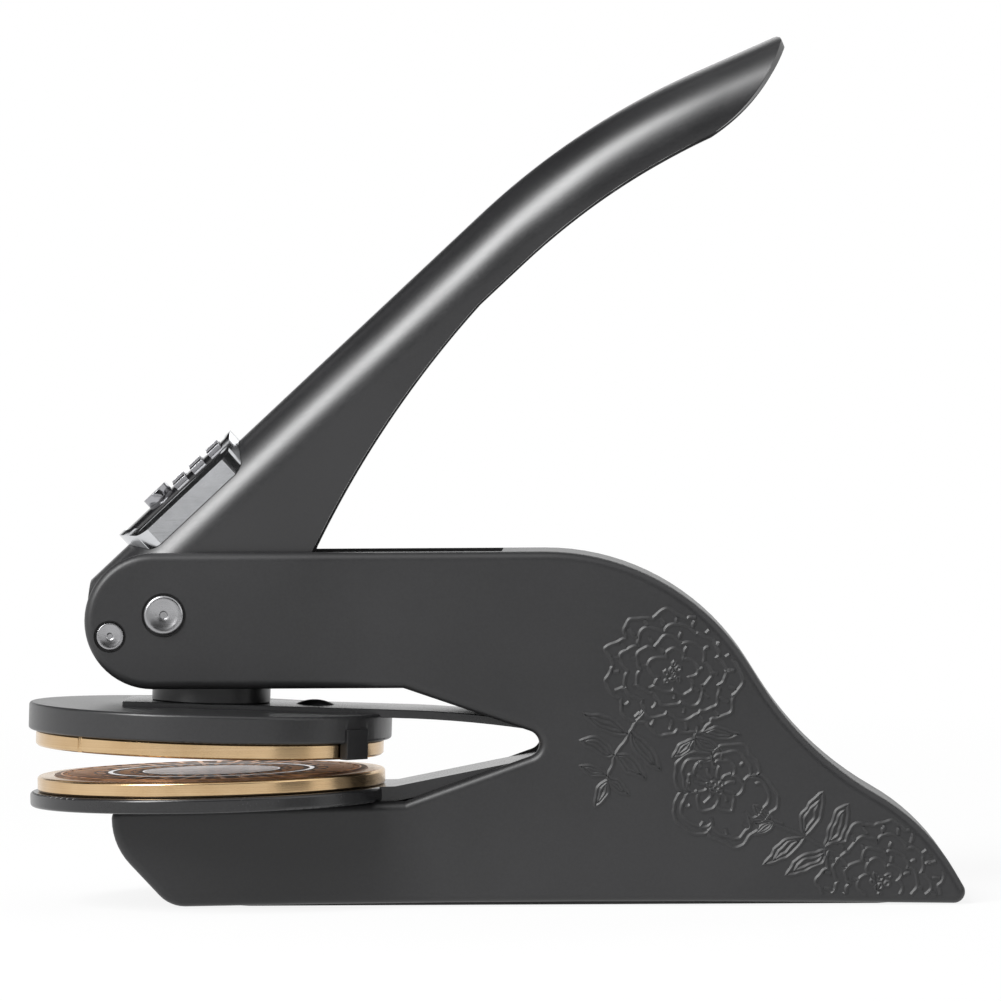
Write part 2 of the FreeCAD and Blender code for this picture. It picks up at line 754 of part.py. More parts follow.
def leaf_rivet():
    """Domed rivet that ties the leaf to the pad behind the boss."""
    x = die_x + leaf_rivet_offset
    bottom = stack("pad") + slip
    shank = disc(rivet_shank_radius, bottom, stack("boss") - bottom, x)
    sphere_radius = (leaf_rivet_radius**2 + leaf_rivet_height**2) / (2 * leaf_rivet_height)
    ball = Part.makeSphere(sphere_radius, V(x, 0, stack("boss") + leaf_rivet_height - sphere_radius))
    dome = ball.common(disc(leaf_rivet_radius + 1, stack("boss"), 10, x))
    return opened(joined(shank, dome))


def press_boss():
    """Round post that the cam pushes, with a stud down through the leaf and the pad."""
    bottom = stack("boss")
    post = disc(boss_diameter / 2, bottom, stack("boss top") - bottom)
    top = edges_where(post, lambda e: e.Length > boss_diameter * 2 and e.BoundBox.ZMin > bottom + 1)
    post = post.makeFillet(boss_edge_radius, top)
    stud_bottom = stack("pad") + slip
    return opened(joined(post, disc(rivet_shank_radius, stud_bottom, bottom - stud_bottom + 0.5)))


# lever channel, cam and pins

foot = V(pivot_x - lever_foot_ahead, 0, pivot_height + lever_foot_above)


def crown_path(offset=0.0):
    """The channel's crown line from its foot to its tip, moved in by an offset, and the stations on it."""
    inward = lever_slope - 90
    start = polar(foot, offset, inward)
    path = Outline(start.x, start.z, lever_slope)
    return path.line(lever_straight).arc(lever_bend_radius - offset, -lever_bend_turn)


def crown_station(length):
    """A place on the crown line, this far along from the foot, and the heading there."""
    if length <= lever_straight:
        return polar(foot, length, lever_slope), lever_slope
    turn = math.degrees((length - lever_straight) / lever_bend_radius)
    if turn <= lever_bend_turn:
        path = Outline(foot.x, foot.z, lever_slope).line(lever_straight).arc(lever_bend_radius, -turn)
        return path.at, path.heading
    path = Outline(foot.x, foot.z, lever_slope).line(lever_straight)
    path.arc(lever_bend_radius, -lever_bend_turn)
    rest = length - lever_straight - math.radians(lever_bend_turn) * lever_bend_radius
    path.line(rest)
    return path.at, path.heading


bend_length = math.radians(lever_bend_turn) * lever_bend_radius
crown_length = lever_straight + bend_length + lever_tip_straight


def crown_stations():
    """Places along the crown and the crown's radius there: slim at the root, wide at the grip."""
    flat = lever_straight * 0.5
    return [
        (-8.0, root_radius),
        (flat / 2, root_radius),
        (flat, root_radius),
        (lever_straight, (root_radius + lever_grip_radius) / 2),
        (lever_straight + bend_length * 0.55, lever_grip_radius),
        (lever_straight + bend_length, lever_grip_radius),
        (crown_length + 8.0, lever_tip_radius),
    ]


def channel_form(inset):
    """A round-topped bar that the channel's outside, or with an inset its inside, is cut from."""
    sections = []
    for length, radius in crown_stations():
        place, heading = crown_station(length)
        inward = polar(V(0, 0, 0), 1.0, heading - 90)
        r = radius - inset
        top = place + inward * inset
        shoulder = place + inward * radius
        deep = place + inward * channel_reach
        side = V(0, r, 0)
        sections.append(Part.Wire([
            Part.LineSegment(deep - side, shoulder - side).toShape(),
            Part.Arc(shoulder - side, top, shoulder + side).toShape(),
            Part.LineSegment(shoulder + side, deep + side).toShape(),
            Part.LineSegment(deep + side, deep - side).toShape(),
        ]))
    return Part.makeLoft(sections, True, False)


def channel_outline():
    """The channel seen from the side: crown line, cut-back tip, hollow grip, flared skirts and root."""
    start = polar(foot, crown_margin, lever_slope + 90)
    outline = Outline(start.x, start.z, lever_slope)
    outline.line(lever_straight).arc(lever_bend_radius + crown_margin, -lever_bend_turn)
    outline.line(lever_tip_straight)
    outline.arc(tip_nose_radius, -80)
    cut, cut_heading = crown_station(crown_length - tip_cut_length)
    cut_end = polar(cut, grip_depth, cut_heading - 90)
    chord = cut_end - outline.at
    square = V(-chord.z, 0, chord.x) * (1 / chord.Length)
    bulge = (outline.at + cut_end) * 0.5 + square * tip_cut_bulge
    outline.arc_to((bulge.x, bulge.z), (cut_end.x, cut_end.z))
    grip_start, _ = crown_station(lever_straight)
    under_start = polar(grip_start, grip_depth, lever_slope - 90)
    middle, middle_heading = crown_station(lever_straight + bend_length * 0.6)
    under_middle = polar(middle, grip_depth, middle_heading - 90)
    outline.arc_to((under_middle.x, under_middle.z), (under_start.x, under_start.z))
    waist, _ = crown_station(lever_straight - 9.0)
    under_waist = polar(waist, grip_depth, lever_slope - 90)
    outline.line_to(under_waist.x, under_waist.z)
    flare, _ = crown_station(48.0)
    under_flare = polar(flare, grip_depth + 3.0, lever_slope - 90)
    heel_top = V(pivot_x + 21.2, 0, pivot_height + 9.2)
    outline.arc_to((under_flare.x, under_flare.z), (heel_top.x, heel_top.z))
    outline.line_to(pivot_x + 20.2, pivot_height + 6.4)
    low = polar(pivot, cam_hub_radius, -52)
    outline.line_to(low.x, low.z)
    down = polar(pivot, cam_hub_radius, -106)
    edge = heel_height() + handle_heel_step
    outline.arc_to((down.x, down.z), (pivot_x - math.sqrt(cam_hub_radius**2 - (pivot_height - edge)**2), edge))
    return outline.line_to(foot.x - 0.3, edge)


def heel_height():
    """Underside of the cam's heel, which rests on the stop barrel."""
    return stop.z + stop_radius + cam_heel_gap


def handle():
    """Pressed channel: round crown, thin walls, open below and at its cut-back tip."""
    outside = channel_form(0.0).common(channel_outline().prism(2 * lever_grip_radius))
    channel = outside.cut(channel_form(lever_sheet))
    holes = [cross_rod(pivot, bush_radius, -lever_width, lever_width)]
    holes += [cross_rod(place, cam_rivet_radius, -lever_width, lever_width) for place in cam_rivet_places()]
    holes += [peg for peg in badge_pegs(slip, 12.0)]
    return channel.cut(holes)


def cam_rivet_places():
    return V(pivot_x + 8.2, 0, pivot_height + 1.8), V(pivot_x + 15.4, 0, pivot_height + 5.2)


def cam_flank():
    """The cam's working edge: what the boss's flat top sweeps as lever and arm turn in step."""
    ratio = press_angle / lever_travel
    centre = on_deck(Part.Vertex(V(die_x, 0, stack("boss top")))).Point
    points = []
    count = 12
    first, last = -3.0, lever_travel + 3.0
    for k in range(count + 1):
        lever = first + (last - first) * k / count
        arm = press_angle - ratio * lever
        top = turned(Part.Vertex(centre), hinge, arm).Point
        tilt = math.radians(deck_tilt - arm)
        normal = V(-math.sin(tilt), 0, math.cos(tilt))
        along = V(math.cos(tilt), 0, math.sin(tilt))
        height = (pivot - top).dot(normal) - cam_clearance
        arm_reach = (hinge - pivot).dot(along)
        offset = ratio * arm_reach / (1 + ratio)
        touch = pivot - normal * height + along * offset
        points.append(turned(Part.Vertex(touch), pivot, -lever).Point)
    return points


cam_clearance = 0.06


def cam_outline():
    """The cam from the side: hub, heel on the stop pin, working flank and a stem up in the channel."""
    flank = cam_flank()
    heel_z = heel_height()
    hub_left = V(pivot_x - math.sqrt(cam_hub_radius**2 - (pivot_height - heel_z)**2), 0, heel_z)
    hub_low = polar(pivot, cam_hub_radius, 250)
    hub_side = polar(pivot, cam_hub_radius, 222)
    outline = Outline(stop.x - 1.6, heel_z).line_to(hub_left.x, hub_left.z)
    outline.arc_to((hub_side.x, hub_side.z), (hub_low.x, hub_low.z))
    outline.line_to(flank[0].x, flank[0].z).curve(flank)
    outline.line_to(pivot_x + 19.0, pivot_height + 6.6).line_to(pivot_x + 17.0, pivot_height + 12.0)
    top = polar(foot, 22.0, lever_slope)
    top = polar(top, 5.0, lever_slope - 90)
    outline.line_to(top.x, top.z)
    near_foot = polar(foot, 5.0, lever_slope - 90)
    return outline.line_to(near_foot.x - 0.8, near_foot.z + 0.4)


def cam():
    """Solid cam that fills the channel's root and turns on a bush."""
    block = cam_outline().prism(root_radius).common(channel_form(lever_sheet + running))
    holes = [cross_rod(pivot, bush_radius, -lever_width, lever_width)]
    holes += [cross_rod(place, cam_rivet_radius, -lever_width, lever_width) for place in cam_rivet_places()]
    return block.cut(holes)


def cam_rivets():
    half = root_radius
    return Part.makeCompound([cross_rod(place, cam_rivet_radius, -half, half) for place in cam_rivet_places()])


def cam_bush():
    return cross_rod(pivot, bush_radius, -root_radius, root_radius).cut(
        cross_rod(pivot, pivot_radius + running, -lever_width, lever_width))


def pivot_washers():
    """Two thin washers that keep the channel off the cheeks."""
    rings = []
    gap = (lever_side_clearance - washer_thickness) / 2
    for side in (-1, 1):
        y = side * (root_radius + gap + washer_thickness / 2)
        ring = cross_rod(pivot, washer_outer_radius, y - washer_thickness / 2, y + washer_thickness / 2)
        rings.append(ring.cut(cross_rod(pivot, pivot_radius + running, -lever_width, lever_width)))
    return Part.makeCompound(rings)


def domed_head(centre, radius, y_under, y_face, edge):
    """A round head from its seat to its face, with a softened rim; the face looks towards -Y or +Y."""
    low, high = min(y_under, y_face), max(y_under, y_face)
    head = cross_rod(centre, radius, low, high)
    rim = edges_where(head, lambda e: on_side(e, y_face) and e.Length > radius)
    return head.makeFillet(edge, rim)


def barrel_and_screw(centre, radius, head_radius, seat, face, edge, socket):
    """A barrel nut from the -Y side and the screw that closes it from the +Y side."""
    core = radius * 0.55
    half = seat
    barrel = joined(cross_rod(centre, radius, -half, half - 0.05),
                    domed_head(centre, head_radius, -seat, -face, edge))
    barrel = barrel.cut(cross_rod(centre, core, -half * 0.3, half + 1))
    barrel = barrel.cut(hex_socket(V(centre.x, -face, centre.z), socket_depth, socket, V(0, 1, 0)))
    screw = joined(cross_rod(centre, core - 0.02, -half * 0.2, half),
                   domed_head(centre, head_radius, seat, face, edge))
    screw = screw.cut(hex_socket(V(centre.x, face, centre.z), socket_depth, socket, V(0, -1, 0)))
    return barrel, screw


def pivot_pair():
    seat = half_frame - counterbore_depth
    face = seat + pivot_head_height
    return barrel_and_screw(pivot, pivot_radius, pivot_head_radius, seat, face, 0.45, socket_radius)


def stop_pair():
    face = half_frame - stop_sunk
    seat = half_frame - counterbore_depth - stop_sunk
    return barrel_and_screw(stop, stop_radius, stop_head_radius, seat, face, 0.25, stop_socket_radius)


# badge

def crown_axis(length):
    """A point on the axis of the crown's cylinder."""
    place, _ = crown_station(length)
    return polar(place, root_radius, lever_slope - 90)


def badge_plan(margin):
    """The badge's plan over the crown, arched at both ends, as a tall prism square to the crown."""
    along = polar(V(0, 0, 0), 1.0, lever_slope)
    out = polar(V(0, 0, 0), 1.0, lever_slope + 90)
    base = crown_axis(0)
    outer = root_radius + badge_height
    half = outer * math.sin(math.radians(badge_half_angle)) - margin
    start = badge_start + badge_foot_bulge + margin
    end = badge_start + badge_length - badge_head_bulge - margin

    def spot(length, y):
        return base + along * length + V(0, y, 0)

    edges = [
        Part.LineSegment(spot(start, -half), spot(end, -half)),
        Part.Arc(spot(end, -half), spot(end + badge_head_bulge, 0), spot(end, half)),
        Part.LineSegment(spot(end, half), spot(start, half)),
        Part.Arc(spot(start, half), spot(start - badge_foot_bulge, 0), spot(start, -half)),
    ]
    wire = Part.Wire([e.toShape() for e in edges])
    return Part.Face(wire).extrude(out * (outer + 12))


def crown_shell(inner, outer):
    """A tube about the crown's axis, along the straight part of the channel."""
    base = crown_axis(0)
    along = polar(V(0, 0, 0), 1.0, lever_slope)
    tube = Part.makeCylinder(outer, lever_straight, base, along)
    return tube.cut(Part.makeCylinder(inner, lever_straight, base, along))


def badge_pegs(growth, depth):
    """Two pegs, or with some growth their holes, square through the crown."""
    inward = polar(V(0, 0, 0), 1.0, lever_slope - 90)
    middle = badge_start + badge_length / 2
    pegs = []
    for k in (-0.5, 0.5):
        top = crown_axis(middle + k * peg_spacing) - inward * (root_radius + badge_height * 0.5)
        pegs.append(Part.makeCylinder(peg_radius + growth, depth, top, inward))
    return pegs


badge_inner = root_radius + slip
badge_outer = root_radius + badge_height
inlay_floor = badge_outer - badge_rim_depth


def badge_bezel():
    """Plated rim and back of the badge, curved to the crown, with two pegs."""
    block = crown_shell(badge_inner, badge_outer).common(badge_plan(0.0))
    pocket = crown_shell(inlay_floor, badge_outer + 5).common(badge_plan(badge_rim))
    length = badge_height * 0.5 + lever_sheet + 1.6
    return joined(block.cut(pocket), *[p for p in badge_pegs(0.0, length)])


def badge_inlay():
    """Dark plate in the bezel's recess."""
    return crown_shell(inlay_floor, inlay_floor + inlay_thickness).common(badge_plan(badge_rim + slip))


def badge_emblem():
    """Plain raised ornament: a round boss and a row of short bars, with no lettering."""
    out = polar(V(0, 0, 0), 1.0, lever_slope + 90)
    along = polar(V(0, 0, 0), 1.0, lever_slope)
    floor = inlay_floor + inlay_thickness
    shell = crown_shell(floor, floor + emblem_height)
    low_shell = crown_shell(floor, floor + bar_height)
    pieces = []
    boss_at = crown_axis(badge_start + 8.0)
    pieces.append(Part.makeCylinder(emblem_radius, floor + 5, boss_at, out).common(shell))
    for k in range(3):
        centre = crown_axis(badge_start + 8.0 + emblem_radius + 1.8 + k * bar_pitch)
        for side in (-1, 0, 1):
            at = centre + V(0, side * 3.2, 0)
            bar = Part.makeBox(bar_length, 1.1, floor + 6)
            bar.translate(V(-bar_length / 2, -0.55, 0))
            bar.Placement = FreeCAD.Placement(
                at, FreeCAD.Rotation(along, ACROSS, out, "ZXY")).multiply(bar.Placement)
            pieces.append(bar.common(low_shell))
    return Part.makeCompound([s for p in pieces for s in p.Solids])


def badge_push_nuts():
    """Spring nuts that grip the pegs inside the channel."""
    inward = polar(V(0, 0, 0), 1.0, lever_slope - 90)
    middle = badge_start + badge_length / 2
    nuts = []
    for k in (-0.5, 0.5):
        at = crown_axis(middle + k * peg_spacing) - inward * (root_radius - lever_sheet - push_nut_drop())
        nut = Part.makeCylinder(push_nut_radius, push_nut_thickness, at, inward)
        nuts.append(nut.cut(Part.makeCylinder(peg_radius, 4, at - inward * 2, inward)))
    return Part.makeCompound(nuts)


def push_nut_drop():
    """How far a flat nut must hang below the round crown for its rim to touch it."""
    r = root_radius - lever_sheet
    return r - math.sqrt(r * r - push_nut_radius**2) + running


def build():
    os.makedirs("parts", exist_ok=True)
    pivot_barrel, pivot_screw = pivot_pair()
    stop_barrel, stop_screw = stop_pair()
    pieces = {
        "frame_casting": frame_casting(),
        "sole_pad": sole_pad(),
        "pivot_barrel": pivot_barrel,
        "pivot_screw": pivot_screw,
        "pivot_washers": pivot_washers(),
        "stop_barrel": stop_barrel,
        "stop_screw": stop_screw,
        "lower_leaf": lower_leaf(),
        "leaf_screws": leaf_screws(),
        "lower_die": lower_die(),
        "lower_die_face": lower_die_face(),
        "clip_block": clip_block(),
        "clip_rivets": clip_rivets(),
        "clip_screw": clip_screw(),
        "handle": handle(),
        "cam": cam(),
        "cam_rivets": cam_rivets(),
        "cam_bush": cam_bush(),
        "badge_bezel": badge_bezel(),
        "badge_inlay": badge_inlay(),
        "badge_emblem": badge_emblem(),
        "badge_push_nuts": badge_push_nuts(),
        "upper_leaf": upper_leaf(),
        "press_boss": press_boss(),
        "leaf_rivet": leaf_rivet(),
        "upper_pad": upper_pad(),
        "upper_die": upper_die(),
        "upper_die_face": upper_die_face(),
    }
    for name, shape in pieces.items():
        save(name, shape)
    print("pivot", round(pivot.x, 3), round(pivot.z, 3), "hinge", round(hinge.x, 3), round(hinge.z, 3))
    print("ratio", round(press_angle / lever_travel, 6))


build()
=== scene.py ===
# %% [markdown]
# # A desk seal embosser, dressed for a close look
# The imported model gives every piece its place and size, in metres. This lesson adds soft edges, a smooth
# sheet-metal lever, cast ornament on the cheeks, engraved dies, plated pins, and a finish for each material.
# +X runs from the dies to the tail, Y is across, Z is up.

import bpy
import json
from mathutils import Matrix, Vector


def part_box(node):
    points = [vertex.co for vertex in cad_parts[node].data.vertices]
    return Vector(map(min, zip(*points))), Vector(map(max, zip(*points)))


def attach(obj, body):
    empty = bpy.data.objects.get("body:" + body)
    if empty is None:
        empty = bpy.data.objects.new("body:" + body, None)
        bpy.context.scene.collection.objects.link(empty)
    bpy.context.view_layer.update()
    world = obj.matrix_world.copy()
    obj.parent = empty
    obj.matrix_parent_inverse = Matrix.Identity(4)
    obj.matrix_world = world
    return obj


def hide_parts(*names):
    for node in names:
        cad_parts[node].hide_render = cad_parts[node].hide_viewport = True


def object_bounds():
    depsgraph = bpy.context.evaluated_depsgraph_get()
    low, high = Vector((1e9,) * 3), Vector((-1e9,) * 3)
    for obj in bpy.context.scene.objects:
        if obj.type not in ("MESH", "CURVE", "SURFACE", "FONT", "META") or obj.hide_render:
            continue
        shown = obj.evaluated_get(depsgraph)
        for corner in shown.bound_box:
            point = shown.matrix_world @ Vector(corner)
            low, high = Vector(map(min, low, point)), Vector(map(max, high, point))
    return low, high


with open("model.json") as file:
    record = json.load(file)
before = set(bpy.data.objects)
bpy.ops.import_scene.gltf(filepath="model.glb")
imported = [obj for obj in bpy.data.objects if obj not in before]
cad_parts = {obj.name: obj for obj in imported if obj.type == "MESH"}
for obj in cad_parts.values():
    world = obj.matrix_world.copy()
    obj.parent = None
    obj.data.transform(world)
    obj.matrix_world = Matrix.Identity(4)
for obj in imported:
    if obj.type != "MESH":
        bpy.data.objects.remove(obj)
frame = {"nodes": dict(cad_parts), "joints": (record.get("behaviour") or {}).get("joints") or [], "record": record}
cad_box = [list(corner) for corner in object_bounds()]

import json
import math

import bmesh
import bpy
from mathutils import Matrix, Vector

MM = 0.001
TURN = 2 * math.pi
node_body = {node: body for body, nodes in frame["record"]["behaviour"]["bodies"].items() for node in nodes}
joints = {joint["name"]: joint for joint in frame["joints"]}

# %% [markdown]
# ## Sizes that several pieces share
# These are measured on the frame, so that a change of the model carries through. The pivot comes from the
# lever's joint, and the dies' common axis from the lower die.

# %% Shared sizes
pivot = Vector(joints["lever_press"]["pos_m"])
lower_face_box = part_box("lower_die_face")
die_x = (lower_face_box[0].x + lower_face_box[1].x) / 2
cheek_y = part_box("frame_casting")[1].y
print("die axis at", round(die_x / MM, 2), "mm, cheek face at", round(cheek_y / MM, 2), "mm")


def polar(centre, radius, degrees):
    """A point beside another one in the XZ plane, at an angle from +X towards +Z."""
    a = math.radians(degrees)
    return Vector((centre[0] + radius * math.cos(a), 0, centre[2] + radius * math.sin(a)))


def unit(degrees):
    """A step of length 1 in the XZ plane."""
    return polar((0, 0, 0), 1.0, degrees)


# %% [markdown]
# ## Making meshes
# Every piece ends as a plain mesh whose object sits at the origin. `piece` finishes it, from a bmesh or a
# mesh, and `softened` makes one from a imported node.

# %% Mesh helpers
CREASE = math.radians(35)
weld_distance = 0.002 * MM
flat_angle = math.radians(0.4)


def baked(obj):
    """The mesh of an object with its modifiers applied; the object itself goes away."""
    graph = bpy.context.evaluated_depsgraph_get()
    mesh = bpy.data.meshes.new_from_object(obj.evaluated_get(graph), depsgraph=graph)
    name = obj.name
    bpy.data.objects.remove(obj)
    mesh.name = name
    return mesh


def raw_object(name, data):
    """An object in the scene from a bmesh, which is used up, or from a mesh, a lamp or a camera."""
    if isinstance(data, bmesh.types.BMesh):
        mesh = bpy.data.meshes.new(name)
        data.to_mesh(mesh)
        data.free()
        data = mesh
    obj = bpy.data.objects.new(name, data)
    bpy.context.scene.collection.objects.link(obj)
    return obj


def with_modifier(obj, kind, **settings):
    modifier = obj.modifiers.new(kind.lower(), kind)
    for key, value in settings.items():
        setattr(modifier, key, value)
    return modifier


def rounded(obj, width, segments=2, angle=CREASE):
    """Breaks the sharp edges of an object."""
    with_modifier(obj, "BEVEL", width=width, segments=segments, limit_method="ANGLE", angle_limit=angle,
                  miter_outer="MITER_ARC", use_clamp_overlap=True)
    return obj


def piece(name, mesh, body, material, replaces=(), crease=CREASE):
    """A finished piece: smooth up to a crease angle, of one material, and riding on a body."""
    obj = raw_object(name, mesh)
    for polygon in obj.data.polygons:
        polygon.use_smooth = True
    obj.data.set_sharp_from_angle(angle=crease)
    with_modifier(obj, "WEIGHTED_NORMAL", keep_sharp=True, weight=80)
    mesh = baked(obj)
    mesh.materials.clear()
    mesh.materials.append(material)
    obj = raw_object(name, mesh)
    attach(obj, body)
    if replaces:
        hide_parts(*replaces)
    print(name, "has", len(mesh.polygons), "faces")


def merged_copy(node):
    """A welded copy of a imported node's mesh, with its flat faces whole again, ready for a bevel."""
    mesh = bmesh.new()
    mesh.from_mesh(frame["nodes"][node].data)
    bmesh.ops.remove_doubles(mesh, verts=mesh.verts, dist=weld_distance)
    bmesh.ops.dissolve_limit(mesh, angle_limit=flat_angle, verts=mesh.verts, edges=mesh.edges)
    return mesh


def softened(node, width, material):
    """Stands for a node with the same shape, but with its edges broken, as those of real parts are."""
    mesh = baked(rounded(raw_object(node + "_raw", merged_copy(node)), width))
    piece(node + "_soft", mesh, node_body[node], material, replaces=(node,))


# %% [markdown]
# ## Shader maths as plain expressions
# A wire is one output socket. Its operators add Math nodes, also when a number stands first, so a pattern
# reads like the formula that it is. `Network` adds nodes of any kind, and `Finish` holds one material.

# %% Wires and finishes
def maths(operation, swapped=False):
    """A method that adds one Math node, for a wire alone or for a wire and another value."""
    def method(self, other=None):
        first, second = (other, self) if swapped else (self, other)
        return self.network.node("ShaderNodeMath", {"operation": operation}, {0: first, 1: second})
    return method


class Wire:
    """One output socket of a network. `angle_over` is the angle whose tangent is one value over the other."""

    __add__ = __radd__ = maths("ADD")
    __sub__ = maths("SUBTRACT")
    __rsub__ = maths("SUBTRACT", swapped=True)
    __mul__ = __rmul__ = maths("MULTIPLY")
    __truediv__ = maths("DIVIDE")
    __pow__ = maths("POWER")
    sine = maths("SINE")
    cosine = maths("COSINE")
    angle_over = maths("ARCTAN2")

    def __init__(self, network, socket):
        self.network = network
        self.socket = socket

    def clipped(self, low, high):
        """0 at the low value, 1 at the high one, and straight between."""
        return self.network.node("ShaderNodeMapRange", {"clamp": True}, {"Value": self, "From Min": low,
                                                                       "From Max": high})


class Network:
    """A node tree of any kind, and the one way in which its nodes are added."""

    def feed(self, target, value):
        """Links a wire to a socket, or sets the socket's own value."""
        if isinstance(value, Wire):
            self.tree.links.new(value.socket, target)
        elif target.type == "RGBA":
            target.default_value = (*value, 1.0)
        else:
            target.default_value = value

    def node(self, kind, settings=None, values=None, output=0):
        made = self.tree.nodes.new(kind)
        for key, value in (settings or {}).items():
            setattr(made, key, value)
        for key, value in (values or {}).items():
            if value is not None:
                self.feed(made.inputs[key], value)
        return Wire(self, made.outputs[output])

    def found(self, kind):
        """The tree's own node of a kind, which came with it."""
        return next(node for node in self.tree.nodes if node.type == kind)


class Finish(Network):
    """A material around one Principled shader; numbers alone go straight on its sockets."""

    def __init__(self, name, **constants):
        self.material = bpy.data.materials.new(name)
        self.material.use_nodes = True
        self.tree = self.material.node_tree
        self.shader = self.found("BSDF_PRINCIPLED")
        for key, value in constants.items():
            self.set(key.replace("_", " "), value)

    def set(self, socket, value):
        self.feed(self.shader.inputs[socket], value)

    def blended(self, share, other):
        """Mixes another shader with the Principled one, by its share, on the way to the output."""
        own = Wire(self, self.shader.outputs[0])
        both = self.node("ShaderNodeMixShader", values={0: share, 1: own, 2: other})
        self.tree.links.new(both.socket, self.found("OUTPUT_MATERIAL").inputs["Surface"])

    def place(self):
        """Object coordinates, in metres in the model's own frame."""
        return self.node("ShaderNodeTexCoord", output="Object")

    def axes(self, origin=(0, 0, 0)):
        """X, Y and Z as three wires, measured from an origin."""
        moved = self.node("ShaderNodeMapping",
                          values={"Vector": self.place(), "Location": tuple(-c for c in origin)})
        split = self.node("ShaderNodeSeparateXYZ", values={"Vector": moved})
        outputs = split.socket.node.outputs
        return [Wire(self, outputs[k]) for k in range(3)]

    def noise(self, scale, detail=3.0, stretch=(1, 1, 1)):
        """Cloudy values round 0.5; the scale is in features per metre."""
        moved = self.node("ShaderNodeMapping",
                          values={"Vector": self.place(), "Scale": stretch})
        return self.node("ShaderNodeTexNoise", values={"Vector": moved, "Scale": scale, "Detail": detail})

    def mix(self, share, first, second):
        """A colour between two others."""
        return self.node("ShaderNodeMix", {"data_type": "RGBA"}, {0: share, 6: first, 7: second}, output=2)

    def bump(self, height, distance):
        """Fine relief for the light alone; the distance is the height's real size in metres."""
        self.set("Normal", self.node("ShaderNodeBump", values={"Strength": 1.0, "Distance": distance,
                                                               "Height": height}))


# %% [markdown]
# ## Shapes grown with Geometry Nodes
# Petals, veins, leaves and the dies' marks repeat round a centre or along a stem. `Growth` builds one tree
# with named inputs, and `grown` gives each its number, by the socket's identifier, and turns the result into
# a plain mesh. The angle round a ring comes from the point's index.

# %% Grown shapes
class Growth(Network):
    """A Geometry Nodes tree with named inputs."""

    def __init__(self, name, **sizes):
        self.tree = bpy.data.node_groups.new(name, "GeometryNodeTree")
        self.sizes = sizes
        for key, value in sizes.items():
            kind = "NodeSocketInt" if isinstance(value, int) else "NodeSocketFloat"
            self.tree.interface.new_socket(key, in_out="INPUT", socket_type=kind)
        self.tree.interface.new_socket("Geometry", in_out="OUTPUT", socket_type="NodeSocketGeometry")
        self.given = self.tree.nodes.new("NodeGroupInput").outputs

    def size(self, key):
        return Wire(self, self.given[key])

    def vector(self, x=0.0, y=0.0, z=0.0):
        return self.node("ShaderNodeCombineXYZ", values={0: x, 1: y, 2: z})

    def split(self, vector):
        parts = self.node("ShaderNodeSeparateXYZ", values={0: vector})
        return [Wire(self, parts.socket.node.outputs[k]) for k in range(3)]

    def index(self):
        return self.node("GeometryNodeInputIndex")

    def joined(self, geometries):
        join = self.tree.nodes.new("GeometryNodeJoinGeometry")
        for geometry in reversed(geometries):
            self.tree.links.new(geometry.socket, join.inputs[0])
        return Wire(self, join.outputs[0])

    def moved(self, geometry, place=(0, 0, 0), turn=(0, 0, 0), scale=(1, 1, 1)):
        return self.node("GeometryNodeTransform", values={"Geometry": geometry, "Translation": place,
                                                          "Rotation": turn, "Scale": scale})

    def placed(self, geometry, position):
        return self.node("GeometryNodeSetPosition", values={"Geometry": geometry, "Position": position})

    def repeated(self, points, thing, turn=None, scale=None):
        return self.node("GeometryNodeInstanceOnPoints", values={"Points": points, "Instance": thing,
                                                                 "Rotation": turn, "Scale": scale})

    def swept(self, curve, section=None, caps=False):
        """A curve as bare edges, or as the skin of a section that runs along it."""
        return self.node("GeometryNodeCurveToMesh", values={"Curve": curve, "Profile Curve": section,
                                                            "Fill Caps": caps})

    def grown(self, name, geometry, material):
        """Runs the tree once on an empty mesh, and gives the mesh that comes out."""
        real = self.node("GeometryNodeRealizeInstances", values={0: geometry})
        painted = self.node("GeometryNodeSetMaterial", values={"Geometry": real, "Material": material})
        out = self.tree.nodes.new("NodeGroupOutput")
        self.tree.links.new(painted.socket, out.inputs[0])
        carrier = raw_object(name, bpy.data.meshes.new(name))
        modifier = carrier.modifiers.new("growth", "NODES")
        modifier.node_group = self.tree
        for item in self.tree.interface.items_tree:
            if item.in_out == "INPUT":
                modifier[item.identifier] = self.sizes[item.name]
        return baked(carrier)


# %% [markdown]
# ## The painted metals
# The casting, the lever and the clip wear a charcoal powder coat. Close up such a coat isn't flat: it flows
# into a faint orange peel of a millimetre or so, and its sheen drifts from place to place. The largest noise
# gives the drift, and the two smaller ones a very shallow bump.

# %% Powder coat
LIGHTER, DARKER = 1.22, 0.84
DRIFT_SCALE, PEEL_SCALE, GRAIN_SCALE = 45.0, 900.0, 2600.0


def powder_coat(name, colour, roughness, peel=4e-6, ior=1.5):
    coat = Finish(name, Metallic=0.0, IOR=ior)
    drift = coat.noise(DRIFT_SCALE, 2.0)
    grain = coat.noise(GRAIN_SCALE, 2.0)
    light = tuple(c * LIGHTER for c in colour)
    dark = tuple(c * DARKER for c in colour)
    coat.set("Base Color", coat.mix((drift * 0.6 + grain * 0.4).clipped(0.35, 0.65), dark, light))
    coat.set("Roughness", (drift - 0.5) * 0.12 + (grain - 0.5) * 0.10 + roughness)
    coat.bump(coat.noise(PEEL_SCALE, 2.0) * 0.7 + grain * 0.3, peel)
    return coat.material


casting_coat = powder_coat("casting_coat", (0.0185, 0.0185, 0.0195), 0.42)
lever_coat = powder_coat("lever_coat", (0.014, 0.014, 0.015), 0.32, ior=1.66)
pad_coat = powder_coat("pad_coat", (0.020, 0.020, 0.021), 0.33)
leaf_black = powder_coat("leaf_black", (0.016, 0.016, 0.017), 0.24, peel=2e-6)
print("coats ready")

